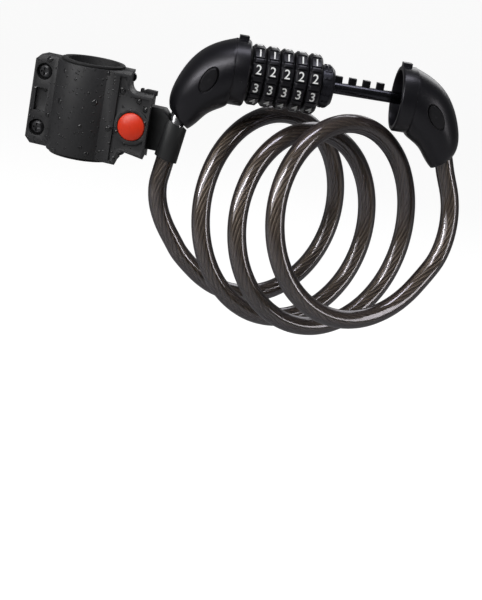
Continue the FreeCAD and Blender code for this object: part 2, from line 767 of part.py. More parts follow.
def make_carrier():
    """Tongue that slides into the bracket, with the collar that the cable runs through."""
    tongue = new_body("tongue", BRACKET)
    face = new_sketch(tongue, "XZ_Plane")
    top = "size.latch_height + size.tongue_height / 2"
    base = "size.latch_height - size.tongue_height / 2"
    draw_outline(face, [
        ("size.tongue_start + 1.5", base),
        ("size.collar_reach - 1", base),
        ("size.collar_reach - 2", f"{top} - 4"),
        ("size.collar_reach - 6", top),
        ("size.tongue_start + 1.5", top),
        ("size.tongue_start", f"{top} - 1.5"),
        ("size.tongue_start", f"{base} + 1.5"),
    ])
    add_feature(tongue, "Pad", face, "size.tongue_depth", side="Symmetric")
    slot = new_sketch(tongue, "XZ_Plane")
    draw_box(slot, "size.tongue_start - 1", "size.button_reach",
             "size.latch_height - size.tongue_slot / 2", "size.latch_height + size.tongue_slot / 2")
    add_feature(tongue, "Pocket", slot, side="Symmetric")
    slot_round = new_sketch(tongue, "XZ_Plane")
    draw_circle(slot_round, ("size.button_reach", "size.latch_height"), "size.tongue_slot / 2")
    add_feature(tongue, "Pocket", slot_round, side="Symmetric")
    notch = new_sketch(tongue, "XZ_Plane", "-size.tongue_half + size.notch_depth")
    draw_box(notch, "size.notch_reach", "size.notch_reach + size.notch_width",
             "size.latch_height - size.leaf_width / 2 - size.slide_gap",
             "size.latch_height + size.leaf_width / 2 + size.slide_gap")
    add_feature(tongue, "Pocket", notch, "size.notch_depth + 1")

    frame = collar_frame()
    far = named("cable_straight")
    low = drop(frame, -named("collar_base") - far)
    length = "size.collar_base + size.collar_top + 2 * size.cable_straight"
    tube = round_bar("collar_tube", "size.collar_radius", length, low)
    # both ends of the collar are cut aslant
    for name, height, slope, side in (("collar_top_cut", "collar_top", "collar_top_slope", 1),
                                      ("collar_base_cut", "collar_base", "collar_base_slope", -1)):
        reach = 3 * named("collar_radius")
        block = doc.addObject("Part::Box", name)
        block.Length = 2 * reach
        block.Width = 2 * reach
        block.Height = reach
        level = drop(frame, side * named(height))
        level.Rotation = FreeCAD.Rotation(BACK, named(slope))
        corner = vector(-reach, -reach, 0 if side > 0 else -reach)
        block.Placement = level.multiply(FreeCAD.Placement(corner, FreeCAD.Rotation()))
        tube = combine("Cut", name + "_done", tube, block)
    solid = combine("Fuse", "carrier_solid", tongue, tube)
    bore = round_bar("collar_bore_bar", "size.collar_bore", length, low)
    return keep(combine("Cut", "lock_carrier", solid, bore))


# Elbows: each is a horn that tapers and turns down from its band, split into two halves.
# Station: distance behind the band's face, height over the barrel's axis, radius, turn in degrees.

HORN_STATIONS = [
    (7.8, -0.4, 17.2, 0.0),
    (16.0, -4.6, 16.6, 12.0),
    (22.6, -10.3, 14.9, 22.0),
    (27.4, -18.2, 12.3, 34.0),
    (30.2, -25.2, 9.3, 43.5),
    (30.3, -28.4, 7.0, 49.5),
]


def horn_loft(name, face_x, side):
    """Outer form of a horn, through round sections that turn towards the tail."""
    sections = []
    for distance, height, radius, turn in HORN_STATIONS:
        ring = doc.addObject("Part::Circle", name + "_section")
        ring.Radius = radius
        place = vector(face_x + side * distance, named("barrel_y"), named("barrel_height") + height)
        ring.Placement = FreeCAD.Placement(place, FreeCAD.Rotation(BACK, side * (90 + turn)))
        sections.append(ring)
    loft = doc.addObject("Part::Loft", name + "_loft")
    loft.Sections = sections
    loft.Solid = True
    loft.Ruled = False
    return loft


def horn_halves(name, horn):
    """Front and rear halves of a horn, parted in the plane in which it bends."""
    reach = 4 * named("band_radius")
    for label, low in ((name + "_front", named("barrel_y") - reach), (name + "_rear", named("barrel_y"))):
        side_box = doc.addObject("Part::Box", label + "_side")
        side_box.Length = named("right_mouth") + 3 * reach
        side_box.Width = reach
        side_box.Height = 2 * reach
        side_box.Placement.Base = vector(-reach, low, named("barrel_height") - 1.3 * reach)
        keep(combine("Common", label, horn, side_box))


def along_x(x, turn=90):
    """Placement on the barrel's axis with local Z along X."""
    return FreeCAD.Placement(vector(x, named("barrel_y"), named("barrel_height")),
                             FreeCAD.Rotation(BACK, turn))


def exit_frame(side):
    """Where a cable leaves its ferrule: local Z points up into the elbow."""
    if side < 0:
        return drop(collar_frame(), named("collar_top") - named("cable_radius"))
    base = vector(named("right_mouth") + named("right_exit_across"), named("barrel_y"), named("right_exit_height"))
    return drop(FreeCAD.Placement(base, FreeCAD.Rotation(BACK, -named("right_exit_lean"))), named("cable_radius"))


def make_ferrule(label, side):
    """Metal end of the cable: a wide foot on the cable and a neck held in the elbow."""
    body = new_body(label, exit_frame(side))
    profile = new_sketch(body, "XZ_Plane")
    draw_outline(profile, [
        ("0", "0"),
        ("size.ferrule_base", "0"),
        ("size.ferrule_base", "size.ferrule_foot"),
        ("size.ferrule_radius", "size.ferrule_foot + size.slide_gap"),
        ("size.ferrule_radius", "size.ferrule_length"),
        ("0", "size.ferrule_length"),
    ])
    add_turned(body, "Revolution", profile, "V_Axis")
    return keep(body)


def drop(frame, distance):
    return frame.multiply(FreeCAD.Placement(vector(0, 0, distance), FreeCAD.Rotation()))


def make_horn(name, face_x, side):
    """One elbow in two halves, hollowed for the ferrule and for what enters its mouth."""
    solid = horn_loft(name, face_x, side)
    frame = exit_frame(side)
    pocket = round_bar(name + "_pocket", "size.ferrule_radius + size.seat_gap",
                       "size.ferrule_length + size.seat_gap", frame)
    throat = round_bar(name + "_throat", "size.ferrule_base + size.seat_gap",
                       "size.band_radius + size.ferrule_foot + size.slide_gap",
                       drop(frame, -named("band_radius")))
    hollow = combine("Cut", name + "_hollow", solid, pocket)
    hollow = combine("Cut", name + "_open", hollow, throat)
    spigot_end = face_x + side * value("size.band_width + size.spigot_depth")
    bore = round_bar(name + "_bore", "size.spigot_radius + size.seat_gap",
                     "size.band_width + size.spigot_depth", along_x(min(face_x, spigot_end)))
    hollow = combine("Cut", name + "_shell", hollow, bore)
    socket_end = spigot_end + side * named("socket_depth")
    socket = round_bar(name + "_socket", "size.socket_radius + size.seat_gap", "size.socket_depth",
                       along_x(min(spigot_end, socket_end)))
    hollow = combine("Cut", name + "_socketed", hollow, socket)
    inlay_place = inlay_frame(face_x, side)
    seat = oval_block(name + "_inlay_seat", "size.seat_gap", "size.inlay_sink", "2 * size.band_radius",
                      drop(inlay_place, -named("inlay_sink")))
    hollow = combine("Cut", name + "_seated", hollow, seat)
    horn_halves(name, hollow)


def inlay_frame(face_x, side):
    """Placement of an oval inlay, its face just under the crown of the horn's front."""
    lean = named("left_inlay_lean") if side < 0 else named("right_inlay_lean")
    centre = vector(face_x + side * named("inlay_reach"), named("barrel_y") - named("inlay_crown"),
                    named("barrel_height") - named("inlay_drop"))
    turn = FreeCAD.Rotation(ACROSS, 90).multiply(FreeCAD.Rotation(UP, -side * (90 - lean)))
    return FreeCAD.Placement(centre, turn)


def oval_block(label, grow, low, length, placement):
    """Elliptic block with its long axis along local X."""
    oval = doc.addObject("Part::Ellipse", label + "_edge")
    bind(oval, "MajorRadius", f"size.inlay_half_length + {grow}")
    bind(oval, "MinorRadius", f"size.inlay_half_width + {grow}")
    oval.Placement = placement
    block = doc.addObject("Part::Extrusion", label)
    block.Base = oval
    block.DirMode = "Custom"
    block.Dir = placement.Rotation.multVec(UP)
    bind(block, "LengthFwd", length)
    block.Solid = True
    return block


def make_inlay(label, face_x, side):
    """Oval cap set into the front of the horn, its face following a shallow dome."""
    place = inlay_frame(face_x, side)
    block = oval_block(label + "_block", "0 * size.seat_gap", "size.inlay_sink",
                       "size.inlay_sink + 2 * size.inlay_rise", drop(place, -named("inlay_sink") + 0.05))
    dome = doc.addObject("Part::Sphere", label + "_dome")
    radius = 6 * named("inlay_half_length")
    dome.Radius = radius
    dome.Placement = drop(place, named("inlay_rise") - radius)
    return keep(combine("Common", label, block, dome))


def make_band(label, face_x, side):
    """Ring at the elbow's face, with the index tab on top."""
    body = new_body(label, FreeCAD.Placement(
        vector(face_x, named("barrel_y"), named("barrel_height")),
        FreeCAD.Rotation(UP, 0 if side > 0 else 180)))
    profile = new_sketch(body, "XZ_Plane")
    draw_outline(profile, [
        ("0", "size.band_inner"),
        ("size.band_width", "size.band_inner"),
        ("size.band_width", "size.band_radius"),
        ("size.band_edge", "size.band_radius"),
        ("0", "size.band_radius - size.band_edge"),
    ])
    add_turned(body, "Revolution", profile, "H_Axis")
    inset = "size.left_tab_inset" if side < 0 else "size.right_tab_inset"
    tab = new_sketch(body, "XY_Plane", "size.band_radius - size.band_wall / 2")
    draw_box(tab, inset, f"{inset} + size.tab_length", "-size.tab_width / 2", "size.tab_width / 2")
    add_feature(body, "Pad", tab, "size.tab_rise + size.band_wall / 2")
    return keep(body)


# Combination barrel: core tube, nose, and for each place a dial and its code ring


def make_core():
    """Tube that the code rings turn on, with a slot for the teeth and a flange in the elbow."""
    body = new_body("lock_core", BARREL)
    profile = new_sketch(body, "XZ_Plane")
    back = "size.spigot_start - size.spigot_depth"
    flange_end = "size.left_face - 0.4"
    end = "size.core_end - size.nose_wall - size.seat_gap"
    draw_outline(profile, [
        (back, "size.core_bore"),
        (end, "size.core_bore"),
        (end, "size.core_radius"),
        (flange_end, "size.core_radius"),
        (flange_end, "size.core_flange"),
        (f"{flange_end} - size.core_flange_width", "size.core_flange"),
        (f"{flange_end} - size.core_flange_width", "size.tooth_top + 2"),
        (back, "size.tooth_top + 2"),
    ])
    add_turned(body, "Revolution", profile, "H_Axis")
    # the slot is open at the core's end, where the teeth come in
    slot = new_sketch(body, "YZ_Plane", "size.spigot_start")
    draw_box(slot, "-size.core_slot / 2", "size.core_slot / 2", "0", "size.tooth_top + size.slide_gap")
    add_feature(body, "Pocket", slot, "size.core_end - size.spigot_start", reverse=True)
    return keep(body)


NOSE_BUMPS = 15


def make_nose():
    """Cap on the end of the core, which the elbow's mouth closes over."""
    body = new_body("nose_cap", BARREL)
    profile = new_sketch(body, "XZ_Plane")
    start = "size.row_end + size.nose_gap"
    end = "size.core_end"
    bore = "size.core_radius + size.seat_gap"
    draw_outline(profile, [
        (start, bore),
        (f"{end} - size.nose_wall", bore),
        (f"{end} - size.nose_wall", "size.core_bore"),
        (end, "size.core_bore"),
        (end, "size.nose_radius - size.nose_round"),
        (f"{end} - size.nose_round", "size.nose_radius"),
        (start, "size.nose_radius"),
    ])
    add_turned(body, "Revolution", profile, "H_Axis")
    slot = new_sketch(body, "YZ_Plane", f"{start} - 1")
    draw_box(slot, "-size.core_slot / 2", "size.core_slot / 2", "0", "size.tooth_top + size.slide_gap")
    add_feature(body, "Pocket", slot, "size.nose_length + 2", reverse=True)
    # two rows of grip bumps round the cap
    for row in (1, 2):
        bump = new_sketch(body, "XY_Plane", "-size.nose_radius - size.nose_bump")
        middle = f"{start} + {row} * 1.2 * size.nose_bump_width"
        draw_box(bump, f"{middle} - size.nose_bump_width / 2", f"{middle} + size.nose_bump_width / 2 - size.seat_gap",
                 "-size.nose_bump_width / 2", "size.nose_bump_width / 2")
        raised = add_feature(body, "Pad", bump, "2 * size.nose_bump")
        repeat_about(body, raised, "X_Axis", NOSE_BUMPS)
    return keep(body)


def make_washer():
    """Dished spring washer between the last dial and the nose, which makes the dials click."""
    body = new_body("spring_washer", BARREL)
    profile = new_sketch(body, "XZ_Plane")
    start = "size.row_end + (size.nose_gap - size.washer_wall - size.washer_dish) / 2"
    bore = "size.tooth_top + 2 * size.slide_gap"
    draw_outline(profile, [
        (start, "size.washer_radius"),
        (f"{start} + size.washer_dish", bore),
        (f"{start} + size.washer_dish + size.washer_wall", bore),
        (f"{start} + size.washer_wall", "size.washer_radius"),
    ])
    add_turned(body, "Revolution", profile, "H_Axis")
    return keep(body)


def make_dial(place):
    """Dial with ten flat number pads, a rib between each two, and a chamfer on both edges."""
    body = new_body(f"dial_{place + 1}", BARREL)
    bind(body, "Placement.Base.x", f"size.dial_first + {place} * size.dial_pitch")
    faces = 10
    section = new_sketch(body, "YZ_Plane")
    corners = []
    for step in range(faces):
        turn = 360 / faces * step
        across = f"size.dial_flat / cos({180 / faces}) * cos({turn})"
        height = f"size.dial_flat / cos({180 / faces}) * sin({turn})"
        corners.append((across, height))
    draw_outline(section, corners)
    draw_circle(section, ("0", "0"), "size.dial_bore")
    add_feature(body, "Pad", section, "size.dial_width", side="Symmetric")
    # the crown is turned to a round, and its two edges slope down to the gaps
    crown = new_sketch(body, "XZ_Plane")
    half = "size.dial_width / 2"
    draw_outline(crown, [
        (f"-{half} - 1", "size.dial_radius - size.dial_shoulder_drop"),
        (f"-{half}", "size.dial_radius - size.dial_shoulder_drop"),
        (f"-{half} + size.dial_shoulder", "size.dial_radius"),
        (f"{half} - size.dial_shoulder", "size.dial_radius"),
        (half, "size.dial_radius - size.dial_shoulder_drop"),
        (f"{half} + 1", "size.dial_radius - size.dial_shoulder_drop"),
        (f"{half} + 1", "size.dial_radius + 2"),
        (f"-{half} - 1", "size.dial_radius + 2"),
    ])
    add_turned(body, "Groove", crown, "H_Axis")
    for sign in (1, -1):
        groove = new_sketch(body, "YZ_Plane")
        turn = f"{sign} * size.dial_groove_turn"
        out = "(size.dial_radius + 1)"
        deep = "(size.dial_flat - size.dial_groove_depth)"
        wide = "size.dial_groove / 2"
        draw_outline(groove, [
            (f"{deep} * sin({turn}) - {wide}", f"{deep} * cos({turn})"),
            (f"{deep} * sin({turn}) + {wide}", f"{deep} * cos({turn})"),
            (f"{out} * sin({turn}) + {wide}", f"{out} * cos({turn})"),
            (f"{out} * sin({turn}) - {wide}", f"{out} * cos({turn})"),
        ])
        cut = add_feature(body, "Pocket", groove, side="Symmetric")
        repeat_about(body, cut, "X_Axis", faces)
    return keep(body)


def make_code_ring(place):
    """Ring inside a dial, with the one gate that lets a tooth pass."""
    body = new_body(f"code_ring_{place + 1}", BARREL)
    bind(body, "Placement.Base.x", f"size.dial_first + {place} * size.dial_pitch")
    section = new_sketch(body, "YZ_Plane")
    draw_circle(section, ("0", "0"), "size.ring_radius")
    draw_circle(section, ("0", "0"), "size.core_radius + size.core_running")
    add_feature(body, "Pad", section, "size.ring_width", side="Symmetric")
    gate = new_sketch(body, "YZ_Plane")
    draw_box(gate, "-size.ring_gate / 2", "size.ring_gate / 2", "0", "size.tooth_top + size.slide_gap")
    add_feature(body, "Pocket", gate, side="Symmetric")
    return keep(body)


# Bolt: the toothed pin and the elbow that carries it


def make_pin():
    body = new_body("locking_pin", BARREL)
    profile = new_sketch(body, "XZ_Plane")
    end = "size.right_mouth + size.pin_depth"
    draw_outline(profile, [
        ("size.pin_tip", "0"),
        (end, "0"),
        (end, "size.pin_radius"),
        ("size.pin_tip + size.pin_cone", "size.pin_radius"),
        ("size.pin_tip", "size.pin_radius - size.pin_cone"),
    ])
    add_turned(body, "Revolution", profile, "H_Axis")
    tooth = new_sketch(body, "XZ_Plane")
    draw_box(tooth, "size.tooth_last - size.tooth_length / 2", "size.tooth_last + size.tooth_length / 2",
             "size.pin_radius / 2", "size.tooth_top")
    teeth = add_feature(body, "Pad", tooth, "size.tooth_width", side="Symmetric")
    pattern = repeat_along(body, teeth, "X_Axis", "size.dial_pitch", 5)
    pattern.Reversed = True
    return keep(body)


def make_anchor():
    """Plug that seats in the elbow behind its mouth and grips the pin."""
    body = new_body("pin_anchor", BARREL)
    profile = new_sketch(body, "XZ_Plane")
    start = "size.right_mouth + size.anchor_depth"
    end = "size.right_mouth + size.pin_depth"
    step = f"{start} + size.anchor_wall"
    grip = "size.pin_radius + size.core_running"
    draw_outline(profile, [
        (start, grip),
        (end, grip),
        (end, "size.socket_radius"),
        (step, "size.socket_radius"),
        (step, "size.spigot_radius"),
        (start, "size.spigot_radius"),
    ])
    add_turned(body, "Revolution", profile, "H_Axis")
    return keep(body)


# Cable: a spring coil of round turns that drift sideways and swell towards both ends


def coil_point(turns):
    """Point of the coil's centre line after a number of turns from its start."""
    middle = turns - named("coil_turns") / 2
    yaw = math.radians(named("coil_yaw"))
    tilt = math.radians(named("coil_tilt"))
    lean = math.radians(named("coil_lean"))
    level = vector(math.cos(yaw), math.sin(yaw), 0)
    normal = vector(math.sin(yaw), -math.cos(yaw), 0)
    rising = UP * math.cos(tilt) + normal * math.sin(tilt)
    wide = level * math.cos(lean) + rising * math.sin(lean)
    tall = rising * math.cos(lean) - level * math.sin(lean)
    swell = 1 + named("coil_swell") * middle ** 2
    angle = 2 * math.pi * turns
    centre = vector(named("coil_middle_x"), named("coil_middle_y"), named("coil_middle_z"))
    drift = vector(named("coil_drift_x"), named("coil_drift_y"), named("coil_drift_z")) * middle
    rise = UP * named("coil_rise") * middle ** 2
    across = wide * named("coil_half_width") * swell * math.cos(angle)
    along = tall * named("coil_half_height") * swell * math.sin(angle)
    return centre + drift + rise - across - along


def coil_direction(turns):
    step = 0.001
    heading = coil_point(turns + step) - coil_point(turns - step)
    heading.normalize()
    return heading


def biarc(start, start_heading, end, end_heading):
    """Two arcs that leave one point and reach another with the headings given."""
    chord = end - start
    both = start_heading + end_heading
    square = 2 * (1 - start_heading.dot(end_heading))
    blend = chord.dot(both)
    if square < 1e-9:
        length = chord.dot(chord) / (4 * chord.dot(end_heading))
    else:
        length = (-blend + math.sqrt(blend ** 2 + square * chord.dot(chord))) / square
    knee = (start + start_heading * length + end - end_heading * length) * 0.5
    edges = []
    for point, heading, other in ((start, start_heading, knee), (end, end_heading * -1, knee)):
        reach = other - point
        side = reach - heading * reach.dot(heading)
        if side.Length < 1e-6:
            edges.append(Part.LineSegment(point, other).toShape())
            continue
        radius = reach.dot(reach) / (2 * side.Length)
        side.normalize()
        centre = point + side * radius
        bisector = (point - centre) + (other - centre)
        bisector.normalize()
        edges.append((Part.Arc(point, centre + bisector * radius, other).toShape(), radius))
    return edges


def cable_nodes():
    """Points and headings of the cable from one ferrule to the other."""
    left = exit_frame(-1)
    right = exit_frame(1)
    down = left.Rotation.multVec(UP) * -1
    up = right.Rotation.multVec(UP)
    through = named("collar_top") + named("collar_base")
    stations = [(left.Base, down), (left.Base + down * through, down)]
    first = named("coil_trim_start")
    last = named("coil_turns") - named("coil_trim_end")
    quarters = 13
    for step in range(quarters + 1):
        at = first + (last - first) * step / quarters
        stations.append((coil_point(at), coil_direction(at)))
    stations.append((right.Base - up * (named("cable_straight") + named("cable_radius")), up))
    stations.append((right.Base, up))
    return stations


def make_cable():
    stations = cable_nodes()
    edges = []
    radii = []
    for (start, heading), (end, end_heading) in zip(stations, stations[1:]):
        if (end - start).cross(heading).Length < 1e-6:
            edges.append(Part.LineSegment(start, end).toShape())
            continue
        for edge, radius in biarc(start, heading, end, end_heading):
            edges.append(edge)
            radii.append(radius)
    path = Part.Wire(edges)
    ring = Part.Circle(stations[0][0], stations[0][1], named("cable_radius")).toShape()
    section = Part.Wire([ring])
    shell = Part.BRepOffsetAPI.MakePipeShell(path)
    shell.add(section)
    shell.build()
    shell.makeSolid()
    cable = doc.addObject("Part::Feature", "cable_coil")
    cable.Label = "cable_coil"
    cable.Shape = shell.shape()
    ideal = math.pi * named("cable_radius") ** 2 * path.Length
    print(f"cable length {path.Length:.1f} mm, volume {cable.Shape.Volume:.0f} against {ideal:.0f}")
    print("arc radii", " ".join(f"{radius:.0f}" for radius in radii))
    print(f"least gap of the cable to itself {least_gap(path):.2f} mm")
    return keep(cable)


def least_gap(path):
    """Clear distance between turns, measured on points along the path."""
    spacing = named("cable_radius") / 2
    points = path.discretize(Distance=spacing)
    skip = int(8 * named("cable_radius") / spacing)
    least = 1e9
    for first, point in enumerate(points):
        for other in points[first + skip:]:
            least = min(least, point.distanceToPoint(other))
    return least - 2 * named("cable_radius")


def build():
    make_front_shell()
    make_rear_shell()
    make_liner("post_liner_front", 180 + 3)
    make_liner("post_liner_rear", 3)
    make_fasteners()
    make_button()
    make_latch_spring()
    make_carrier()
    for name, side, face in (("left", -1, "left_face"), ("right", 1, "right_mouth")):
        make_band(name + "_band", named(face), side)
        make_horn(name + "_elbow", named(face), side)
        make_inlay(name + "_inlay", named(face), side)
        make_ferrule(name + "_ferrule", side)
    make_core()
    make_nose()
    make_washer()
    for place in range(5):
        make_dial(place)
        make_code_ring(place)
    make_pin()
    make_anchor()
    make_cable()


def write_parts():
    doc.recompute()
    for item in doc.Objects:
        if "Invalid" in item.State or "Error" in item.State:
            raise RuntimeError(f"{item.Label} failed: {item.State}")
    for item in nodes:
        shape = item.Shape
        if shape.isNull() or not shape.isValid() or not shape.Solids:
            raise RuntimeError(f"{item.Label} has no valid solid")
    os.makedirs("parts", exist_ok=True)
    for item in nodes:
        item.Shape.exportStep(os.path.join("parts", item.Label + ".step"))
        print(f"{item.Label}: {len(item.Shape.Solids)} solid, {item.Shape.Volume:.0f} mm3")


build()
write_parts()
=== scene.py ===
"""Looks of a coiled cable lock with five dials and its clamp bracket, in metres in the frame of the parts."""

import logging
import math
from dataclasses import dataclass, field
from enum import Enum

import bmesh
import bpy
from mathutils import Matrix, Quaternion, Vector

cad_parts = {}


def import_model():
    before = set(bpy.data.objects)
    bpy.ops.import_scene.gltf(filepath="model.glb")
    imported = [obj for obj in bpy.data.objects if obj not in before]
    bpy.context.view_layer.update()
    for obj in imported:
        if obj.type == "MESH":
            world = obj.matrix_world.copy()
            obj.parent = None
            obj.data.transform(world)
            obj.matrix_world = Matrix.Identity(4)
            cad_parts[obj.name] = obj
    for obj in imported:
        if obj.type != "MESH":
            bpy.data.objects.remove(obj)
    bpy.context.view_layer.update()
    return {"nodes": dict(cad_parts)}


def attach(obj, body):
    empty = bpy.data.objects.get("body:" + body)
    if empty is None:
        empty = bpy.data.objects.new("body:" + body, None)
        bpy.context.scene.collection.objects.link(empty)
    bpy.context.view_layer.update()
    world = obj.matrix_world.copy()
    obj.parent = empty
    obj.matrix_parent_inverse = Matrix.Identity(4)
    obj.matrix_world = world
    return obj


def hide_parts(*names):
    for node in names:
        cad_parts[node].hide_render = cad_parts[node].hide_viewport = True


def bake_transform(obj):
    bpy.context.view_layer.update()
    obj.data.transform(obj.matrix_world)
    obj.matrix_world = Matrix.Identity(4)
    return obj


LOG = logging.getLogger("cable_lock")
MM = 0.001
# Near-black colour of painted shade in dents and grooves
HOLLOW_SHADE = (0.001, 0.001, 0.001)


class Body(Enum):
    """Bodies that pieces ride on."""

    BRACKET = "bracket"
    BUTTON = "button"
    CARRIER = "carrier"
    LOCK = "lock"
    BOLT = "bolt"


class Slot(Enum):
    """Names of the slots for the finishes; nothing in this script uses them."""

    BRACKET = "bracket_plastic"
    LINER = "liner_rubber"
    PLATED = "plated_steel"
    BUTTON = "button_plastic"
    SPRING = "spring_steel"
    CARRIER = "carrier_plastic"
    LOCK = "lock_plastic"
    INLAY = "inlay_plastic"
    CORE = "core_metal"
    NOSE = "nose_metal"
    DIAL = "dial_plastic"
    PIN = "pin_steel"
    SHEATH = "cable_sheath"


# Wires and graphs: sums on sockets, and one way to add any node


class Wire:
    """Output of a node, on which sums can be written."""

    def __init__(self, graph: "Graph", socket: bpy.types.NodeSocket | None) -> None:
        """Keeps the socket and its graph.

        Args:
            graph: Graph that holds the node.
            socket: Output of the node.
        """
        self.graph = graph
        self.socket = socket

    def sum_of(self, operation: str, first: object, second: object) -> "Wire":
        """Adds one Math node.

        Args:
            operation: Name of the operation.
            first: First number or wire.
            second: Second number or wire.

        Returns:
            Wire with the result.
        """
        return self.graph.node("ShaderNodeMath", {"operation": operation}, {0: first, 1: second})

    def __add__(self, other: object) -> "Wire":
        """Sum of both."""
        return self.sum_of("ADD", self, other)

    def __radd__(self, other: object) -> "Wire":
        """Sum of both."""
        return self.sum_of("ADD", other, self)

    def __sub__(self, other: object) -> "Wire":
        """Difference of both."""
        return self.sum_of("SUBTRACT", self, other)

    def __rsub__(self, other: object) -> "Wire":
        """Difference of both, the other way round."""
        return self.sum_of("SUBTRACT", other, self)

    def __mul__(self, other: object) -> "Wire":
        """Product of both."""
        return self.sum_of("MULTIPLY", self, other)

    def __rmul__(self, other: object) -> "Wire":
        """Product of both."""
        return self.sum_of("MULTIPLY", other, self)

    def __truediv__(self, other: object) -> "Wire":
        """Quotient of both."""
        return self.sum_of("DIVIDE", self, other)

    def __pow__(self, other: object) -> "Wire":
        """Power of this wire."""
        return self.sum_of("POWER", self, other)

    def most(self, other: object) -> "Wire":
        """The larger of both."""
        return self.sum_of("MAXIMUM", self, other)

    def sine(self) -> "Wire":
        """Sine of this wire."""
        return self.sum_of("SINE", self, 0.0)

    def cosine(self) -> "Wire":
        """Cosine of this wire."""
        return self.sum_of("COSINE", self, 0.0)

    def ramp(self, low: float, high: float) -> "Wire":
        """Soft step from nought at one value to one at another.

        Args:
            low: Value that gives nought.
            high: Value that gives one.

        Returns:
            Wire with the step.
        """
        return self.graph.node(
            "ShaderNodeMapRange",
            {"interpolation_type": "SMOOTHSTEP"},
            {"Value": self, "From Min": low, "From Max": high},
        )


class Graph:
    """Node tree of a material or of a shape, to which nodes are added in one way."""

    def __init__(self, tree: bpy.types.NodeTree) -> None:
        """Starts on a tree.

        Args:
            tree: Tree that the nodes go into.
        """
        self.tree = tree

    def node(
        self, kind: str, settings: dict | None = None, sockets: dict | None = None, output: object = 0
    ) -> Wire:
        """Adds a node.

        Args:
            kind: Type of the node.
            settings: Settings of the node, which are made first.
            sockets: Values or wires of its inputs, by name or number.
            output: Name or number of the output that is wanted.

        Returns:
            Wire on that output.
        """
        made = self.tree.nodes.new(kind)
        for name, setting in (settings or {}).items():
            setattr(made, name, setting)
        for name, given in (sockets or {}).items():
            self.feed(made.inputs[name], given)
        return Wire(self, made.outputs[output] if made.outputs else None)

    def other(self, wire: Wire, output: object) -> Wire:
        """Another output of the node that a wire comes from."""
        return Wire(self, wire.socket.node.outputs[output])

    def feed(self, socket: bpy.types.NodeSocket, given: object) -> None:
        """Links or sets one input.

        Args:
            socket: Input to feed.
            given: Wire, number, vector, colour or data block.
        """
        if isinstance(given, Wire):
            self.tree.links.new(given.socket, socket)
        elif socket.type == "RGBA" and len(given) == 3:
            socket.default_value = (*given, 1.0)
        else:
            socket.default_value = given


# Finishes


@dataclass(frozen=True)
class Finish:
    """Common start of the finishes: a surface shader on object coordinates."""

    name: str
    colour: tuple[float, float, float]

    def begin(self) -> tuple[bpy.types.Material, Graph, Wire]:
        """Makes an empty material.

        Returns:
            The material, its graph and the object coordinates in millimetres.
        """
        made = bpy.data.materials.new(self.name)
        made.use_nodes = True
        made.node_tree.nodes.clear()
        graph = Graph(made.node_tree)
        place = graph.node("ShaderNodeTexCoord", output="Object")
        scaled = graph.node("ShaderNodeVectorMath", {"operation": "SCALE"}, {0: place, "Scale": 1 / MM})
        made.diffuse_color = (*self.colour, 1.0)
        return made, graph, scaled

    @staticmethod
    def noise(graph: Graph, place: Wire, scale: float, detail: float = 3.0, rough: float = 0.55) -> Wire:
        """Cloudy noise on the object.

        Args:
            graph: Graph to add to.
            place: Coordinates in millimetres.
            scale: Features in a millimetre.
            detail: Number of finer layers.
            rough: Weight of the finer layers.

        Returns:
            Wire from nought to one.
        """
        return graph.node(
            "ShaderNodeTexNoise",
            None,
            {"Vector": place, "Scale": scale, "Detail": detail, "Roughness": rough},
        )

    @staticmethod
    def tint(graph: Graph, factor: object, first: object, second: object) -> Wire:
        """Mix of two colours.

        Args:
            graph: Graph to add to.
            factor: Share of the second colour.
            first: First colour or wire.
            second: Second colour or wire.

        Returns:
            Wire with the colour.
        """
        return graph.node(
            "ShaderNodeMix", {"data_type": "RGBA"}, {"Factor": factor, 6: first, 7: second}, 2
        )

    @staticmethod
    def bump(graph: Graph, height: Wire, depth: float, before: Wire | None = None) -> Wire:
        """Bump from a height.

        Args:
            graph: Graph to add to.
            height: Height, from nought to one.
            depth: Depth of one, in millimetres.
            before: Normal of another bump under this one.

        Returns:
            Wire with the normal.
        """
        sockets = {"Height": height, "Distance": depth * MM, "Strength": 1.0}
        if before is not None:
            sockets["Normal"] = before
        return graph.node("ShaderNodeBump", None, sockets)

    @staticmethod
    def close(graph: Graph, sockets: dict) -> None:
        """Adds the surface shader and the output.

        Args:
            graph: Graph to add to.
            sockets: Inputs of the surface shader.
        """
        shader = graph.node("ShaderNodeBsdfPrincipled", None, sockets)
        graph.node("ShaderNodeOutputMaterial", None, {"Surface": shader})


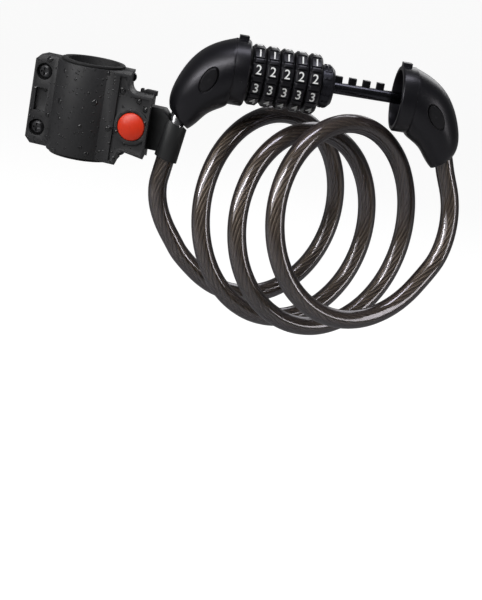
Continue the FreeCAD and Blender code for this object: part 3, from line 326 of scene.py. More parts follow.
@dataclass(frozen=True)
class Moulded(Finish):
    """Moulded plastic or rubber: grain, cloudy gloss, pale scuffs, ejector marks and the grooves of ovals, the
    marks and grooves darkened with painted shade.

    A mark is its place. An oval is its place along and up, and its lean in degrees.
    """

    rough: float = 0.4
    spread: float = 0.12
    grain: float = 4.0
    grain_depth: float = 0.012
    sheen_tint: tuple[float, float, float] = (1.0, 1.0, 1.0)
    specular: float = 0.5
    scuffs: float = 0.25
    marks: tuple[tuple[float, float, float], ...] = ()
    ovals: tuple[tuple[float, float, float], ...] = ()
    oval_half: tuple[float, float] = (7.1, 3.6)
    oval_front: float = -22.0
    cloud_scale: float = 0.09
    fine_scale: float = 1.1
    mark_depth: float = 0.3
    oval_depth: float = 0.4
    mark_radius: float = 0.55

    def build(self) -> bpy.types.Material:
        """Makes the material.

        Returns:
            The material.
        """
        made, graph, place = self.begin()
        cloud = self.noise(graph, place, self.cloud_scale)
        grain = self.noise(graph, place, self.grain, 2.0)
        fine = self.noise(graph, place, self.fine_scale, 4.0, 0.7)
        scuff = fine.ramp(0.62, 0.72) * cloud.ramp(0.45, 0.65)
        pale = tuple(0.7 * part + 0.05 for part in self.colour)
        deep = tuple(0.72 * part for part in self.colour)
        colour = self.tint(graph, cloud, deep, self.colour)
        colour = self.tint(graph, scuff * self.scuffs, colour, pale)
        normal = self.bump(graph, grain, self.grain_depth)
        rough = cloud * self.spread + (self.rough - self.spread / 2) + grain * 0.05 + scuff * 0.1
        for mark in self.marks:
            far = graph.node(
                "ShaderNodeVectorMath", {"operation": "DISTANCE"}, {0: place, 1: mark}, "Value"
            )
            dent_and_shade = far.ramp(self.mark_radius, self.mark_radius * 0.7)
            # painted shade: each ejector mark's hollow is darkened to near black
            colour = self.tint(graph, dent_and_shade, colour, HOLLOW_SHADE)
            normal = self.bump(graph, 1.0 - dent_and_shade, self.mark_depth, normal)
        for x, z, lean in self.ovals:
            part = graph.node("ShaderNodeSeparateXYZ", None, {0: place}, "X")
            beside, above = part - x, graph.other(part, "Z") - z
            turn = math.radians(lean)
            along = (beside * math.cos(turn) + above * math.sin(turn)) / self.oval_half[0]
            across = (above * math.cos(turn) - beside * math.sin(turn)) / self.oval_half[1]
            far = (along * along + across * across) ** 0.5
            front = graph.other(part, "Y").ramp(self.oval_front, self.oval_front - 2.0)
            groove_and_shade = far.ramp(0.84, 0.93) * (1.0 - far.ramp(1.0, 1.08)) * front
            # painted shade: the ring round each oval is darkened to near black
            colour = self.tint(graph, groove_and_shade, colour, HOLLOW_SHADE)
            normal = self.bump(graph, 1.0 - groove_and_shade, self.oval_depth, normal)
        self.close(
            graph,
            {
                "Base Color": colour,
                "Roughness": rough,
                "Normal": normal,
                "Specular IOR Level": self.specular,
                "Specular Tint": (*self.sheen_tint, 1.0),
            },
        )
        return made


@dataclass(frozen=True)
class Beaded(Finish):
    """Matt bracket plastic with rain beads on it: glossy rounded drops of two sizes, with a ring of painted
    shade at their feet.
    """

    rough: float = 0.5
    large: float = 0.23
    small: float = 0.5
    large_share: float = 0.72
    small_share: float = 0.6
    large_radius: float = 0.42
    small_radius: float = 0.4
    large_depth: float = 0.9
    small_depth: float = 0.45
    wobble: float = 0.35

    def beads(
        self, graph: Graph, place: Wire, scale: float, share: float, wide: float
    ) -> tuple[Wire, Wire]:
        """One size of beads.

        Args:
            graph: Graph to add to.
            place: Coordinates in millimetres.
            scale: Cells in a millimetre.
            share: Share of the cells that hold a bead.
            wide: Radius of the largest bead, in cells.

        Returns:
            Height of the beads from nought to one, and a mask of the painted shade ring at their feet.
        """
        drift = graph.node(
            "ShaderNodeTexNoise", None, {"Vector": place, "Scale": scale * 1.3, "Detail": 1.0}, "Color"
        )
        pushed = graph.node(
            "ShaderNodeVectorMath", {"operation": "SCALE"}, {0: drift, "Scale": self.wobble / scale}
        )
        warped = graph.node("ShaderNodeVectorMath", {"operation": "ADD"}, {0: place, 1: pushed})
        cell = graph.node(
            "ShaderNodeTexVoronoi", {"feature": "F1"}, {"Vector": warped, "Scale": scale}, "Distance"
        )
        pick = graph.node("ShaderNodeSeparateColor", None, {"Color": graph.other(cell, "Color")}, 0)
        other = graph.other(pick, 1)
        size = pick.ramp(1 - share, 1.0) ** 0.5 * (0.6 + other * 0.4) * wide
        inner = (size - cell) / wide
        height = inner.most(0.0) ** 0.5
        # painted shade: mask of a dark ring round the foot of each bead
        ring = inner.ramp(-0.12, 0.02) * (1.0 - inner.ramp(0.05, 0.3))
        return height, ring * size.ramp(0.02, 0.08)

    def build(self) -> bpy.types.Material:
        """Makes the material.

        Returns:
            The material.
        """
        made, graph, place = self.begin()
        cloud = self.noise(graph, place, 0.07)
        grain = self.noise(graph, place, 3.2, 2.0)
        big, big_foot_shade = self.beads(graph, place, self.large, self.large_share, self.large_radius)
        fine, fine_foot_shade = self.beads(graph, place, self.small, self.small_share, self.small_radius)
        wet = big.most(fine)
        ring = big_foot_shade.most(fine_foot_shade)
        deep = tuple(0.7 * part for part in self.colour)
        colour = self.tint(graph, cloud, deep, self.colour)
        # painted shade: the feet of the beads are darkened to near black
        colour = self.tint(graph, ring * 0.85, colour, (0.003, 0.003, 0.004))
        colour = self.tint(graph, wet.ramp(0.1, 0.4) * 0.5, colour, deep)
        rough = cloud * 0.12 + (self.rough - 0.06) + grain * 0.06
        rough = rough * (1.0 - wet.ramp(0.0, 0.15) * 0.82)
        normal = self.bump(graph, grain, 0.015)
        normal = self.bump(graph, big, self.large_depth, normal)
        normal = self.bump(graph, fine, self.small_depth, normal)
        self.close(graph, {"Base Color": colour, "Roughness": rough, "Normal": normal})
        return made


@dataclass(frozen=True)
class Metal(Finish):
    """Turned or plated metal: fine rings of the tool, cloudy gloss and dull spots."""

    rough: float = 0.25
    metallic: float = 1.0
    turning: float = 6.0
    dull: float = 0.5

    def build(self) -> bpy.types.Material:
        """Makes the material.

        Returns:
            The material.
        """
        made, graph, place = self.begin()
        cloud = self.noise(graph, place, 0.25)
        spots = self.noise(graph, place, 1.8, 4.0, 0.7)
        long = graph.node(
            "ShaderNodeVectorMath", {"operation": "MULTIPLY"}, {0: place, 1: (self.turning, 0.4, 0.4)}
        )
        rings = graph.node("ShaderNodeTexNoise", None, {"Vector": long, "Scale": 1.0, "Detail": 2.0})
        deep = tuple(0.6 * part for part in self.colour)
        colour = self.tint(graph, spots.ramp(0.5, 0.75) * self.dull, self.colour, deep)
        rough = cloud * 0.12 + (self.rough - 0.05) + spots.ramp(0.5, 0.8) * 0.12
        normal = self.bump(graph, rings, 0.01)
        self.close(
            graph, {"Base Color": colour, "Metallic": self.metallic, "Roughness": rough, "Normal": normal}
        )
        return made


@dataclass(frozen=True)
class Sheath(Finish):
    """Smoky see-through sheath of the cable, denser where it is seen edge on, with a clear gloss over it."""

    rough: float = 0.09
    centre: float = 0.34
    edge: float = 1.0
    shine: float = 0.09
    clear_to: float = 0.07
    dense_from: float = 0.42
    shine_tint: tuple[float, float, float] = (0.96, 0.93, 1.0)

    def build(self) -> bpy.types.Material:
        """Makes the material.

        Returns:
            The material.
        """
        made, graph, place = self.begin()
        cloud = self.noise(graph, place, 0.05, 2.0)
        fine = self.noise(graph, place, 0.5, 3.0)
        facing = graph.node("ShaderNodeLayerWeight", None, {"Blend": 0.38}, "Facing")
        warm = tuple(min(1.0, 1.7 * part + 0.006) for part in self.colour)
        colour = self.tint(graph, cloud.ramp(0.35, 0.65), self.colour, warm)
        dense = facing.ramp(self.clear_to, self.dense_from)
        alpha = dense * (self.edge - self.centre) + self.centre + (fine - 0.5) * 0.08
        rough = fine * 0.1 + 0.3
        normal = self.bump(graph, fine, 0.01)
        smoke = graph.node(
            "ShaderNodeBsdfPrincipled",
            None,
            {
                "Base Color": colour,
                "Alpha": alpha,
                "Roughness": rough,
                "Normal": normal,
                "IOR": 1.45,
                "Specular IOR Level": 0.15,
            },
        )
        gloss = graph.node(
            "ShaderNodeBsdfGlossy",
            None,
            {"Color": (*self.shine_tint, 1.0), "Roughness": self.rough, "Normal": normal},
        )
        both = graph.node("ShaderNodeMixShader", None, {0: fine * 0.04 + self.shine, 1: smoke, 2: gloss})
        graph.node("ShaderNodeOutputMaterial", None, {"Surface": both})
        return made


@dataclass(frozen=True)
class Strand(Finish):
    """Steel strands of the cable: each strand shows the twist of its own wires, with painted shade in the
    grooves between them.
    """

    rough: float = 0.38
    wires_a_mm: float = 1.4
    wires_round: float = 6.0

    def build(self) -> bpy.types.Material:
        """Makes the material.

        Returns:
            The material.
        """
        made, graph, place = self.begin()
        cloud = self.noise(graph, place, 0.16, 3.0)
        along = graph.node("ShaderNodeAttribute", {"attribute_name": "along"}, None, "Fac")
        round_ = graph.node("ShaderNodeAttribute", {"attribute_name": "round"}, None, "Fac")
        twist = along * self.wires_a_mm + round_ * self.wires_round
        wires = (twist * (2 * math.pi)).sine() * 0.5 + 0.5
        # deep colour: painted shade in the grooves between the wires, and also the cloudy darker tone
        deep = tuple(0.35 * part for part in self.colour)
        colour = self.tint(graph, wires.ramp(0.0, 0.55), deep, self.colour)
        colour = self.tint(graph, cloud.ramp(0.55, 0.8) * 0.5, colour, deep)
        rough = cloud * 0.2 + (self.rough - 0.1)
        normal = self.bump(graph, wires, 0.06)
        self.close(graph, {"Base Color": colour, "Metallic": 0.75, "Roughness": rough, "Normal": normal})
        return made


@dataclass(frozen=True)
class Paint(Finish):
    """Filled paint of the numbers, a little worn at places."""

    rough: float = 0.5

    def build(self) -> bpy.types.Material:
        """Makes the material.

        Returns:
            The material.
        """
        made, graph, place = self.begin()
        worn = self.noise(graph, place, 1.6, 4.0, 0.7)
        grey = tuple(0.55 * part for part in self.colour)
        colour = self.tint(graph, worn.ramp(0.55, 0.75) * 0.6, self.colour, grey)
        normal = self.bump(graph, worn, 0.02)
        rough = worn * 0.2 + (self.rough - 0.1)
        self.close(graph, {"Base Color": colour, "Roughness": rough, "Normal": normal})
        return made


@dataclass
class Paints:
    """All finishes of the lock, each made once."""

    made: dict[str, bpy.types.Material] = field(default_factory=dict)

    def get(self, finish: Finish) -> bpy.types.Material:
        """Material of a finish, made at its first use.

        Args:
            finish: Finish that is wanted.

        Returns:
            Its material.
        """
        if finish.name not in self.made:
            self.made[finish.name] = finish.build()
        return self.made[finish.name]


PAINTS = Paints()

COOL = (0.94, 0.92, 1.0)
LEFT_MARKS = ((66.0, -31.0, 43.5), (60.5, -31.5, 30.5))
BAND_MARKS = ((73.2, -30.5, 43.6), (73.2, -32.9, 31.2))
RIGHT_MARKS = ((160.0, -30.0, 42.0),)
OVALS = ((57.5, 29.1, 66.0), (175.0, 29.1, -53.0))

BRACKET_SKIN = Beaded("bracket skin", (0.022, 0.022, 0.024))
LINER_SKIN = Moulded("liner rubber", (0.012, 0.012, 0.013), rough=0.7, spread=0.1, grain_depth=0.03)
PLATED_STEEL = Metal("black plated steel", (0.10, 0.10, 0.105), rough=0.3)
BUTTON_SKIN = Moulded(
    "button skin", (0.92, 0.045, 0.010), rough=0.36, spread=0.08, grain=2.2, grain_depth=0.006, scuffs=0.05
)
SPRING_STEEL = Metal("spring steel", (0.42, 0.42, 0.44), rough=0.28)
CARRIER_SKIN = Moulded("carrier skin", (0.022, 0.023, 0.024), rough=0.46, grain_depth=0.02)
LOCK_SKIN = Moulded(
    "elbow skin", (0.007, 0.007, 0.009), rough=0.30, sheen_tint=COOL, grain_depth=0.008,
    marks=LEFT_MARKS + BAND_MARKS + RIGHT_MARKS, ovals=OVALS,
)
INLAY_SKIN = Moulded(
    "inlay skin", (0.010, 0.010, 0.011), rough=0.38, sheen_tint=COOL, grain_depth=0.01, ovals=OVALS
)
CORE_METAL = Metal("core metal", (0.34, 0.34, 0.36), rough=0.3)
NOSE_METAL = Metal("nose metal", (0.035, 0.035, 0.045), rough=0.32, metallic=0.7)
DIAL_SKIN = Moulded("dial skin", (0.007, 0.007, 0.009), rough=0.3, sheen_tint=COOL, grain_depth=0.006)
PIN_STEEL = Metal("dark pin steel", (0.055, 0.055, 0.065), rough=0.24, dull=0.3)
NECK_STEEL = Metal("bright neck steel", (0.62, 0.62, 0.64), rough=0.22)
MOUTH_METAL = Metal("mouth lining", (0.30, 0.30, 0.34), rough=0.3, metallic=0.8)
SHEATH_SKIN = Sheath("smoky sheath", (0.016, 0.011, 0.010))
STRAND_STEEL = Strand("strand steel", (0.52, 0.42, 0.33))
NUMBER_PAINT = Paint("number paint", (0.86, 0.87, 0.86))


# Shapes


@dataclass
class Shaper:
    """Turns parts of the frame into finished pieces with soft edges."""

    nodes: dict[str, bpy.types.Object]
    joined: float = 0.002
    flat_angle: float = 0.6
    edge_angle: float = 32.0
    smooth_angle: float = 38.0

    def piece(
        self, name: str, mesh: bpy.types.Mesh, finish: Finish, body: str | None
    ) -> bpy.types.Object:
        """Makes a piece that rides on a body.

        Args:
            name: Name of the piece.
            mesh: Its mesh, in the frame of the parts.
            finish: Its finish.
            body: Body that it rides on, or none for a piece that is left on no body.

        Returns:
            The piece.
        """
        made = bpy.data.objects.new(name, mesh)
        bpy.context.scene.collection.objects.link(made)
        mesh.materials.clear()
        mesh.materials.append(PAINTS.get(finish))
        if body is not None:
            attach(made, body)
        return made

    def paint(self, node: str, finish: Finish) -> None:
        """Gives a part of the frame its finish.

        Args:
            node: Name of the part.
            finish: Finish that it gets.
        """
        part = self.nodes[node]
        part.data.materials.clear()
        part.data.materials.append(PAINTS.get(finish))
        LOG.info("%s keeps its solid in %s", node, finish.name)

    def soften(
        self,
        node: str,
        name: str,
        finish: Finish,
        body: str | None,
        edge: float,
        steps: int = 2,
        cuts: int = 0,
    ) -> bpy.types.Object:
        """Copies a part, joins its triangles to faces, rounds its edges and lets the copy stand for it.

        Args:
            node: Name of the part.
            name: Name of the piece.
            finish: Its finish.
            body: Body that it rides on, or none for a piece that is left on no body.
            edge: Width of the rounded edge in millimetres.
            steps: Faces across a rounded edge.
            cuts: Cuts in each edge, for a piece that bends in the real lock.

        Returns:
            The piece.
        """
        shape = bmesh.new()
        shape.from_mesh(self.nodes[node].data)
        bmesh.ops.remove_doubles(shape, verts=shape.verts, dist=self.joined * MM)
        bmesh.ops.dissolve_limit(
            shape, angle_limit=math.radians(self.flat_angle), use_dissolve_boundaries=False,
            verts=shape.verts, edges=shape.edges,
        )
        least = math.radians(self.edge_angle)
        sharp = [e for e in shape.edges if len(e.link_faces) == 2 and e.calc_face_angle(0.0) > least]
        bmesh.ops.bevel(
            shape, geom=sharp, offset=edge * MM, offset_type="OFFSET", segments=steps, profile=0.5,
            affect="EDGES", clamp_overlap=True,
        )
        if cuts:
            bmesh.ops.subdivide_edges(shape, edges=shape.edges, cuts=cuts, use_grid_fill=True)
        mesh = bpy.data.meshes.new(name)
        shape.to_mesh(mesh)
        shape.free()
        mesh.shade_smooth()
        mesh.set_sharp_from_angle(angle=math.radians(self.smooth_angle))
        made = self.piece(name, mesh, finish, body)
        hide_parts(node)
        LOG.info("%s stands for %s, %d faces", name, node, len(mesh.polygons))
        return made


@dataclass
class Cable:
    """Cable in a spring coil: one smooth line, a sheath on it and twisted strands in it."""

    radius: float = 4.8
    turns: float = 3.5
    middle: tuple[float, float, float] = (120.7, -17.7, -41.4)
    drift: tuple[float, float, float] = (16.65, -20.9, 3.9)
    half_width: float = 52.0
    half_height: float = 50.9
    swell: float = 0.021
    rise: float = 5.4
    yaw: float = 35.3
    tilt: float = -7.3
    lean: float = 2.8
    points_a_turn: int = 14
    trim: float = 0.1
    left_end: tuple[float, float, float] = (45.243, -16.246, -2.540)
    left_down: tuple[float, float, float] = (-0.13226, 0.0, -0.99122)
    right_end: tuple[float, float, float] = (185.937, -16.246, 7.538)
    right_up: tuple[float, float, float] = (-0.32557, 0.0, 0.94552)
    left_bend: tuple[tuple[float, float, float], ...] = (
        (41.4, -16.2, -31.0), (43.2, -15.9, -41.0), (48.0, -15.0, -51.0), (54.2, -13.5, -59.6),
    )
    right_bend: tuple[tuple[float, float, float], ...] = (
        (192.4, -26.4, -42.4), (194.9, -22.4, -33.0), (195.5, -18.6, -23.0), (193.8, -16.4, -12.8),
    )
    strand_count: int = 10
    strand_radius: float = 0.86
    strand_circle: float = 2.75
    strand_lay: float = 62.0
    sheath_sides: int = 28
    strand_sides: int = 7
    step: float = 1.6
    bend_start: tuple[float, float, float] = (0.086, 0.0, 0.0)
    bend_end: tuple[float, float, float] = (0.186, 0.0, 0.0)

    def coil_point(self, turn: float) -> Vector:
        """Point of the coil after a number of turns, set out a little, since the line runs inside its points.

        Args:
            turn: Turns from the coil's start.

        Returns:
            The point in millimetres.
        """
        past = turn - self.turns / 2
        yaw, tilt, lean = (math.radians(angle) for angle in (self.yaw, self.tilt, self.lean))
        level = Vector((math.cos(yaw), math.sin(yaw), 0.0))
        normal = Vector((math.sin(yaw), -math.cos(yaw), 0.0))
        rising = Vector((0, 0, 1)) * math.cos(tilt) + normal * math.sin(tilt)
        wide = level * math.cos(lean) + rising * math.sin(lean)
        tall = rising * math.cos(lean) - level * math.sin(lean)
        turned = 2 * math.pi / self.points_a_turn
        outset = 4 / (3 + math.cos(turned))
        size = (1 + self.swell * past**2) * outset
        angle = 2 * math.pi * turn
        centre = Vector(self.middle) + Vector(self.drift) * past + Vector((0, 0, self.rise * past**2))
        across = wide * self.half_width * size * math.cos(angle)
        along = tall * self.half_height * size * math.sin(angle)
        return centre - across - along

    def route(self) -> list[Vector]:
        """Control points of the line, from the left ferrule to the right one.

        Returns:
            The points in metres.
        """
        left = Vector(self.left_end)
        down = Vector(self.left_down)
        right = Vector(self.right_end)
        up = Vector(self.right_up)
        points = [left + down * reach for reach in (0.0, 7.0, 14.0, 20.5)]
        points += [Vector(point) for point in self.left_bend]
        count = round((self.turns - 2 * self.trim) * self.points_a_turn)
        for index in range(count + 1):
            points.append(self.coil_point(self.trim + (self.turns - 2 * self.trim) * index / count))
        points += [Vector(point) for point in self.right_bend]
        points += [right - up * reach for reach in (10.0, 5.0, 0.0)]
        return [point * MM for point in points]

    def line(self) -> tuple[bpy.types.Object, list[Vector]]:
        """Smooth line of the cable.

        Returns:
            A mesh of its points joined in order, and the points.
        """
        curve = bpy.data.curves.new("cable_line", "CURVE")
        curve.dimensions = "3D"
        curve.resolution_u = 10
        spline = curve.splines.new("NURBS")
        route = self.route()
        spline.points.add(len(route) - 1)
        for held, point in zip(spline.points, route):
            held.co = (*point, 1.0)
        spline.order_u = 3
        spline.use_endpoint_u = True
        holder = bpy.data.objects.new("cable_line", curve)
        bpy.context.scene.collection.objects.link(holder)
        bpy.context.view_layer.update()
        ready = holder.evaluated_get(bpy.context.evaluated_depsgraph_get())
        mesh = bpy.data.meshes.new_from_object(ready)
        bpy.data.objects.remove(holder)
        carrier = bpy.data.objects.new("cable_guide", mesh)
        bpy.context.scene.collection.objects.link(carrier)
        return carrier, [vertex.co.copy() for vertex in mesh.vertices]

    def tree(self) -> bpy.types.NodeTree:
        """Shape tree that lays a number of tubes round the line, twisted about it.

        Returns:
            The tree.
        """
        tree = bpy.data.node_groups.new("twisted_tubes", "GeometryNodeTree")
        face = tree.interface
        face.new_socket("Line", in_out="INPUT", socket_type="NodeSocketGeometry")
        for name in ("Radius", "Circle", "Lay", "Step"):
            face.new_socket(name, in_out="INPUT", socket_type="NodeSocketFloat")
        for name in ("Count", "Sides"):
            face.new_socket(name, in_out="INPUT", socket_type="NodeSocketInt")
        face.new_socket("Finish", in_out="INPUT", socket_type="NodeSocketMaterial")
        face.new_socket("Tubes", in_out="OUTPUT", socket_type="NodeSocketGeometry")
        graph = Graph(tree)
        given = graph.node("NodeGroupInput", output="Line")
        names = ("Radius", "Circle", "Lay", "Step", "Count", "Sides", "Finish")
        radius, circle, lay, step, count, sides, finish = (graph.other(given, name) for name in names)
        curve = graph.node("GeometryNodeMeshToCurve", None, {"Mesh": given})
        even = graph.node("GeometryNodeResampleCurve", {"mode": "LENGTH"}, {"Curve": curve, "Length": step})
        many = graph.node(
            "GeometryNodeDuplicateElements", {"domain": "SPLINE"}, {"Geometry": even, "Amount": count}
        )
        index = graph.other(many, "Duplicate Index")
        run = graph.node("GeometryNodeSplineParameter", output="Length")
        angle = (run / lay + index / count) * (2 * math.pi)
        side = graph.node("GeometryNodeInputNormal")
        ahead = graph.node("GeometryNodeInputTangent")
        over = graph.node("ShaderNodeVectorMath", {"operation": "CROSS_PRODUCT"}, {0: ahead, 1: side})
        first = graph.node(
            "ShaderNodeVectorMath", {"operation": "SCALE"}, {0: side, "Scale": angle.cosine() * circle}
        )
        second = graph.node(
            "ShaderNodeVectorMath", {"operation": "SCALE"}, {0: over, "Scale": angle.sine() * circle}
        )
        shift = graph.node("ShaderNodeVectorMath", {"operation": "ADD"}, {0: first, 1: second})
        noted = graph.node(
            "GeometryNodeStoreNamedAttribute",
            {"data_type": "FLOAT", "domain": "POINT"},
            {"Geometry": many, "Name": "along", "Value": run / MM},
        )
        placed = graph.node("GeometryNodeSetPosition", None, {"Geometry": noted, "Offset": shift})
        ring = graph.node(
            "GeometryNodeCurvePrimitiveCircle", {"mode": "RADIUS"}, {"Resolution": sides, "Radius": radius}
        )
        share = graph.node("GeometryNodeSplineParameter", output="Factor")
        marked = graph.node(
            "GeometryNodeStoreNamedAttribute",
            {"data_type": "FLOAT", "domain": "POINT"},
            {"Geometry": ring, "Name": "round", "Value": share},
        )
        tubes = graph.node(
            "GeometryNodeCurveToMesh", None, {"Curve": placed, "Profile Curve": marked, "Fill Caps": True}
        )
        whole = graph.node("GeometryNodeRealizeInstances", None, {"Geometry": tubes})
        dressed = graph.node("GeometryNodeSetMaterial", None, {"Geometry": whole, "Material": finish})
        graph.node("NodeGroupOutput", None, {"Tubes": dressed})
        return tree

    def tubes(
        self, guide: bpy.types.Object, tree: bpy.types.NodeTree, name: str, finish: Finish, sizes: dict
    ) -> bpy.types.Object:
        """Tubes laid along the line as one plain mesh.

        Args:
            guide: Mesh of the line.
            tree: Shape tree.
            name: Name of the piece.
            finish: Its finish.
            sizes: Values of the tree's inputs.

        Returns:
            The piece, riding on nothing yet.
        """
        holder = bpy.data.objects.new(name + "_holder", guide.data.copy())
        bpy.context.scene.collection.objects.link(holder)
        modifier = holder.modifiers.new("tubes", "NODES")
        modifier.node_group = tree
        values = {**sizes, "Finish": PAINTS.get(finish)}
        for item in tree.interface.items_tree:
            if item.in_out == "INPUT" and item.name in values:
                modifier[item.identifier] = values[item.name]
        bpy.context.view_layer.update()
        ready = holder.evaluated_get(bpy.context.evaluated_depsgraph_get())
        mesh = bpy.data.meshes.new_from_object(ready)
        bpy.data.objects.remove(holder)
        mesh.shade_smooth()
        made = bpy.data.objects.new(name, mesh)
        bpy.context.scene.collection.objects.link(made)
        LOG.info("%s has %d faces", name, len(mesh.polygons))
        return made

    def build(self) -> list[bpy.types.Object]:
        """Returns:
            Both pieces.
        """
        guide, points = self.line()
        tree = self.tree()
        sheath = self.tubes(
            guide, tree, "cable_sheath", SHEATH_SKIN,
            {"Radius": self.radius * MM, "Circle": 0.0, "Lay": 1.0, "Step": self.step * MM, "Count": 1,
             "Sides": self.sheath_sides},
        )
        strands = self.tubes(
            guide, tree, "cable_strands", STRAND_STEEL,
            {"Radius": self.strand_radius * MM, "Circle": self.strand_circle * MM,
             "Lay": self.strand_lay * MM, "Step": self.step * MM, "Count": self.strand_count,
             "Sides": self.strand_sides},
        )
        bpy.data.objects.remove(guide)
        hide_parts("cable_coil")
        for made in (sheath, strands):
            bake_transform(made)
        return [sheath, strands]


@dataclass
class Bracket:
    """Bracket with its shells, liners, screws, nuts and latch spring, and the button and carrier in it."""

    edge: float = 0.45
    shells: tuple[str, ...] = ("bracket_front_shell", "bracket_rear_shell")
    liners: tuple[str, ...] = ("post_liner_front", "post_liner_rear")
    fasteners: tuple[str, ...] = ("clamp_screws", "clamp_nuts", "rear_screws")
    leaf_cuts: int = 8
    leaf_root: tuple[float, float, float] = (0.0214, -0.0032, 0.0)
    leaf_press: tuple[float, float, float] = (0.0256, -0.0047, 0.0)

    def build(self, shaper: Shaper) -> None:
        """Makes and dresses the pieces.

        Args:
            shaper: Shaper of the parts.
        """
        body = Body.BRACKET.value
        for node in self.shells:
            shaper.soften(node, node + "_skin", BRACKET_SKIN, body, self.edge)
        for node in self.liners:
            shaper.soften(node, node + "_skin", LINER_SKIN, body, 0.25)
        for node in self.fasteners:
            shaper.soften(node, node + "_finished", PLATED_STEEL, body, 0.12)
        leaf = shaper.soften(
            "latch_spring", "latch_leaf", SPRING_STEEL, None, 0.08, 1, self.leaf_cuts
        )
        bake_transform(leaf)
        shaper.soften(
            "release_button", "release_button_skin", BUTTON_SKIN, Body.BUTTON.value, 0.5, 3
        )
        shaper.soften(
            "lock_carrier", "lock_carrier_skin", CARRIER_SKIN, Body.CARRIER.value, 0.35
        )


@dataclass
class Elbow:
    """Elbow of the barrel: two halves, a band with its tab, an oval inlay and a ferrule."""

    side: str
    body: Body
    neck: Finish
    edge: float = 0.3

    def build(self, shaper: Shaper) -> None:
        """Makes and dresses the pieces.

        Args:
            shaper: Shaper of the parts.
        """
        body = self.body.value
        for half in ("front", "rear"):
            node = f"{self.side}_elbow_{half}"
            shaper.soften(node, node + "_skin", LOCK_SKIN, body, self.edge)
        shaper.soften(f"{self.side}_band", f"{self.side}_band_skin", LOCK_SKIN, body, 0.4, 3)
        shaper.soften(f"{self.side}_inlay", f"{self.side}_inlay_skin", INLAY_SKIN, body, 0.6, 3)
        ferrule = f"{self.side}_ferrule"
        shaper.soften(ferrule, ferrule + "_finished", self.neck, body, 0.2)


@dataclass
class Numbers:
    """Raised numbers from 0 to 9 round one dial."""

    size: float = 4.9
    weight: float = 0.012
    flat: float = 15.2
    proud: float = 0.14
    width_share: float = 0.94

    def digit(self, number: int) -> bpy.types.Mesh:
        """One number as a solid in the XY plane, centred on the origin.

        Args:
            number: Number from 0 to 9.

        Returns:
            Its mesh, in millimetres.
        """
        text = bpy.data.curves.new(f"number_{number}", "FONT")
        text.body = str(number)
        text.size = 1.0
        text.offset = self.weight / 2
        text.extrude = 0.5
        text.resolution_u = 4
        holder = bpy.data.objects.new("number_holder", text)
        bpy.context.scene.collection.objects.link(holder)
        bpy.context.view_layer.update()
        mesh = bpy.data.meshes.new_from_object(holder.evaluated_get(bpy.context.evaluated_depsgraph_get()))
        bpy.data.objects.remove(holder)
        low = Vector(min(v.co[axis] for v in mesh.vertices) for axis in range(3))
        high = Vector(max(v.co[axis] for v in mesh.vertices) for axis in range(3))
        centre = (low + high) / 2
        grow = self.size / (high.y - low.y)
        mesh.transform(Matrix.Translation(-centre))
        mesh.transform(Matrix.Diagonal((grow * self.width_share, grow, 2 * self.proud, 1)))
        return mesh

    def ring(self, x: float, y: float, z: float) -> bpy.types.Mesh:
        """All ten numbers round a dial.

        Args:
            x: Place of the dial along the barrel, in millimetres.
            y: Depth of the barrel's axis.
            z: Height of the barrel's axis.

        Returns:
            Mesh in metres.
        """
        whole = bmesh.new()
        for number in range(10):
            mesh = self.digit(number)
            angle = math.radians(90 - 36 * number)
            out = Vector((0, -math.cos(angle), math.sin(angle)))
            top = Vector((0, math.sin(angle), math.cos(angle)))
            spin = Matrix((Vector((1, 0, 0)), top, out)).transposed().to_4x4()
            place = Matrix.Translation(Vector((x, y, z)) + out * self.flat)
            mesh.transform(Matrix.Scale(MM, 4) @ place @ spin)
            whole.from_mesh(mesh)
            bpy.data.meshes.remove(mesh)
        bmesh.ops.remove_doubles(whole, verts=whole.verts, dist=0.001 * MM)
        bmesh.ops.recalc_face_normals(whole, faces=whole.faces)
        made = bpy.data.meshes.new("numbers")
        whole.to_mesh(made)
        whole.free()
        return made


@dataclass
class Barrel:
    """Dials with their numbers and code rings, the core, the nose cap, the washer and the toothed pin."""

    places: int = 5
    first: float = 81.5
    pitch: float = 7.3
    depth: float = -16.246
    height: float = 33.5
    numbers: Numbers = field(default_factory=Numbers)

    def build(self, shaper: Shaper) -> None:
        """Makes and dresses the pieces.

        Args:
            shaper: Shaper of the parts.
        """
        for place in range(self.places):
            body = f"place_{place + 1}"
            node = f"dial_{place + 1}"
            shaper.soften(node, node + "_skin", DIAL_SKIN, body, 0.2)
            mesh = self.numbers.ring(self.first + self.pitch * place, self.depth, self.height)
            shaper.piece(f"numbers_{place + 1}", mesh, NUMBER_PAINT, body)
            shaper.paint(f"code_ring_{place + 1}", CORE_METAL)
        shaper.soften("lock_core", "lock_core_finished", CORE_METAL, Body.LOCK.value, 0.2)
        shaper.soften("nose_cap", "nose_cap_finished", NOSE_METAL, Body.LOCK.value, 0.15)
        shaper.paint("spring_washer", SPRING_STEEL)
        shaper.soften("locking_pin", "locking_pin_finished", PIN_STEEL, Body.BOLT.value, 0.25)
        shaper.soften("pin_anchor", "pin_anchor_finished", MOUTH_METAL, Body.BOLT.value, 0.2)


@dataclass(frozen=True)
class Lamp:
    """Soft lamp: its place and size in metres, power in watts, colour, and turn about its line to the lock."""

    name: str
    place: tuple[float, float, float]
    size: tuple[float, float]
    power: float
    colour: tuple[float, float, float]
    roll: float = 0.0

    def build(self, centre: Vector) -> None:
        """Makes the lamp, looking at the lock.

        Args:
            centre: Middle of the lock.
        """
        data = bpy.data.lights.new(self.name, "AREA")
        data.shape = "RECTANGLE"
        data.size, data.size_y = self.size
        data.energy = self.power
        data.color = self.colour
        made = bpy.data.objects.new(self.name, data)
        bpy.context.scene.collection.objects.link(made)
        made.location = self.place
        towards = centre - Vector(self.place)
        turn = towards.to_track_quat("-Z", "Y") @ Quaternion((0.0, 0.0, 1.0), math.radians(self.roll))
        made.rotation_euler = turn.to_euler()


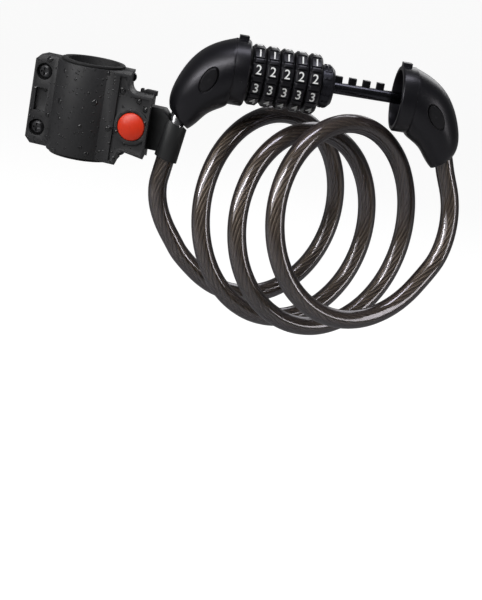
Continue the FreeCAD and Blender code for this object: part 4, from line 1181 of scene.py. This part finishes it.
LAMPS = (
    Lamp("wide lamp", (-0.85, -0.75, 0.75), (0.9, 1.7), 8.5, (1.0, 0.99, 0.97), -45.0),
    Lamp("strip lamp", (-0.84, -0.74, 0.74), (0.2, 1.5), 9.5, (1.0, 1.0, 1.0), -45.0),
    Lamp("top lamp", (0.1, -0.1, 1.15), (0.8, 0.25), 4.0, (0.92, 0.92, 1.0)),
    Lamp("back lamp", (0.7, 1.3, 0.8), (0.9, 0.9), 6.0, (1.0, 1.0, 1.0)),
    Lamp("side lamp", (1.1, -0.5, 0.25), (0.25, 0.8), 2.5, (1.0, 0.98, 0.96)),
)


@dataclass
class Studio:
    """Camera, soft lamps, white surroundings and a pale floor far below the hanging lock."""

    eye: tuple[float, float, float] = (-14.9, -919.2, 155.6)
    forward: tuple[float, float, float] = (0.11691886, 0.95956009, -0.25607502)
    right: tuple[float, float, float] = (0.98218385, -0.07352268, 0.17294303)
    up: tuple[float, float, float] = (-0.14712191, 0.27173305, 0.95106062)
    lens: float = 106.84
    floor: float = -0.42
    centre: tuple[float, float, float] = (0.09, -0.01, -0.02)
    floor_white: float = 0.92
    floor_mirrored: float = 0.12
    floor_colour: float = 0.3
    sky_white: float = 0.93
    sky_light: float = 0.07
    half_width: float = 6.0
    floor_front: float = -4.0
    floor_back: float = 3.0
    rise_radius: float = 1.5
    rise_steps: int = 8
    wall_top: float = 5.0

    def camera(self) -> None:
        """Makes the camera."""
        data = bpy.data.cameras.new("camera")
        data.lens = self.lens
        data.sensor_width = 36.0
        data.clip_start = 0.01
        data.clip_end = 50.0
        made = bpy.data.objects.new("camera", data)
        bpy.context.scene.collection.objects.link(made)
        turn = Matrix((Vector(self.right), Vector(self.up), -Vector(self.forward))).transposed()
        made.matrix_world = Matrix.Translation(Vector(self.eye) * MM) @ turn.to_4x4()
        bpy.context.scene.camera = made

    def white(self) -> bpy.types.Material:
        """Pale surface that is white to the camera and keeps the shadow.

        Returns:
            The material.
        """
        made = bpy.data.materials.new("pale floor")
        made.use_nodes = True
        made.node_tree.nodes.clear()
        graph = Graph(made.node_tree)
        seen = graph.node("ShaderNodeLightPath", output="Is Camera Ray")
        mirrored = graph.other(seen, "Is Glossy Ray")
        through = graph.other(seen, "Is Transmission Ray")
        strength = seen * self.floor_white + mirrored * self.floor_mirrored + through * self.floor_white
        glow = graph.node("ShaderNodeEmission", None, {"Color": (1, 1, 1, 1), "Strength": strength})
        plain = graph.node("ShaderNodeBsdfDiffuse", None, {"Color": (*[self.floor_colour] * 3, 1)})
        both = graph.node("ShaderNodeAddShader", None, {0: glow, 1: plain})
        graph.node("ShaderNodeOutputMaterial", None, {"Surface": both})
        return made

    def ground(self) -> None:
        """Makes the floor and the curved backdrop in one sheet."""
        mesh = bpy.data.meshes.new("floor")
        shape = bmesh.new()
        rows = [(self.floor_front, self.floor), (self.floor_back, self.floor)]
        for step in range(1, self.rise_steps + 1):
            angle = math.radians(90 * step / self.rise_steps)
            depth = self.floor_back + self.rise_radius * math.sin(angle)
            rows.append((depth, self.floor + self.rise_radius * (1 - math.cos(angle))))
        rows.append((self.floor_back + self.rise_radius, self.wall_top))
        sides = (-self.half_width, self.half_width)
        verts = [[shape.verts.new((x, y, z)) for x in sides] for y, z in rows]
        for low, high in zip(verts, verts[1:]):
            shape.faces.new((low[0], low[1], high[1], high[0]))
        shape.to_mesh(mesh)
        shape.free()
        mesh.shade_smooth()
        made = bpy.data.objects.new("floor", mesh)
        bpy.context.scene.collection.objects.link(made)
        mesh.materials.append(self.white())

    def world(self) -> None:
        """Sets the even light round the lock."""
        made = bpy.data.worlds.new("surroundings")
        made.use_nodes = True
        made.node_tree.nodes.clear()
        graph = Graph(made.node_tree)
        seen = graph.node("ShaderNodeLightPath", output="Is Camera Ray")
        strength = seen * self.sky_white + self.sky_light
        back = graph.node("ShaderNodeBackground", None, {"Color": (1, 1, 1, 1), "Strength": strength})
        graph.node("ShaderNodeOutputWorld", None, {"Surface": back})
        bpy.context.scene.world = made

    def build(self) -> None:
        """Sets lamps, floor, world and colour view."""
        self.world()
        self.ground()
        for lamp in LAMPS:
            lamp.build(Vector(self.centre))
        bpy.context.scene.view_settings.view_transform = "Standard"


def main() -> None:
    """Builds the lock in its order and reports each piece."""
    logging.basicConfig(level=logging.INFO, format="%(message)s")
    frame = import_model()
    studio = Studio()
    studio.camera()
    for made in Cable().build():
        LOG.info("%s made", made.name)
    shaper = Shaper(frame["nodes"])
    for part in (
        Bracket(),
        Elbow("left", Body.LOCK, NECK_STEEL),
        Elbow("right", Body.BOLT, PLATED_STEEL),
        Barrel(),
    ):
        part.build(shaper)
        LOG.info("%s built", type(part).__name__)
    studio.build()


if __name__ == "__main__":
    main()
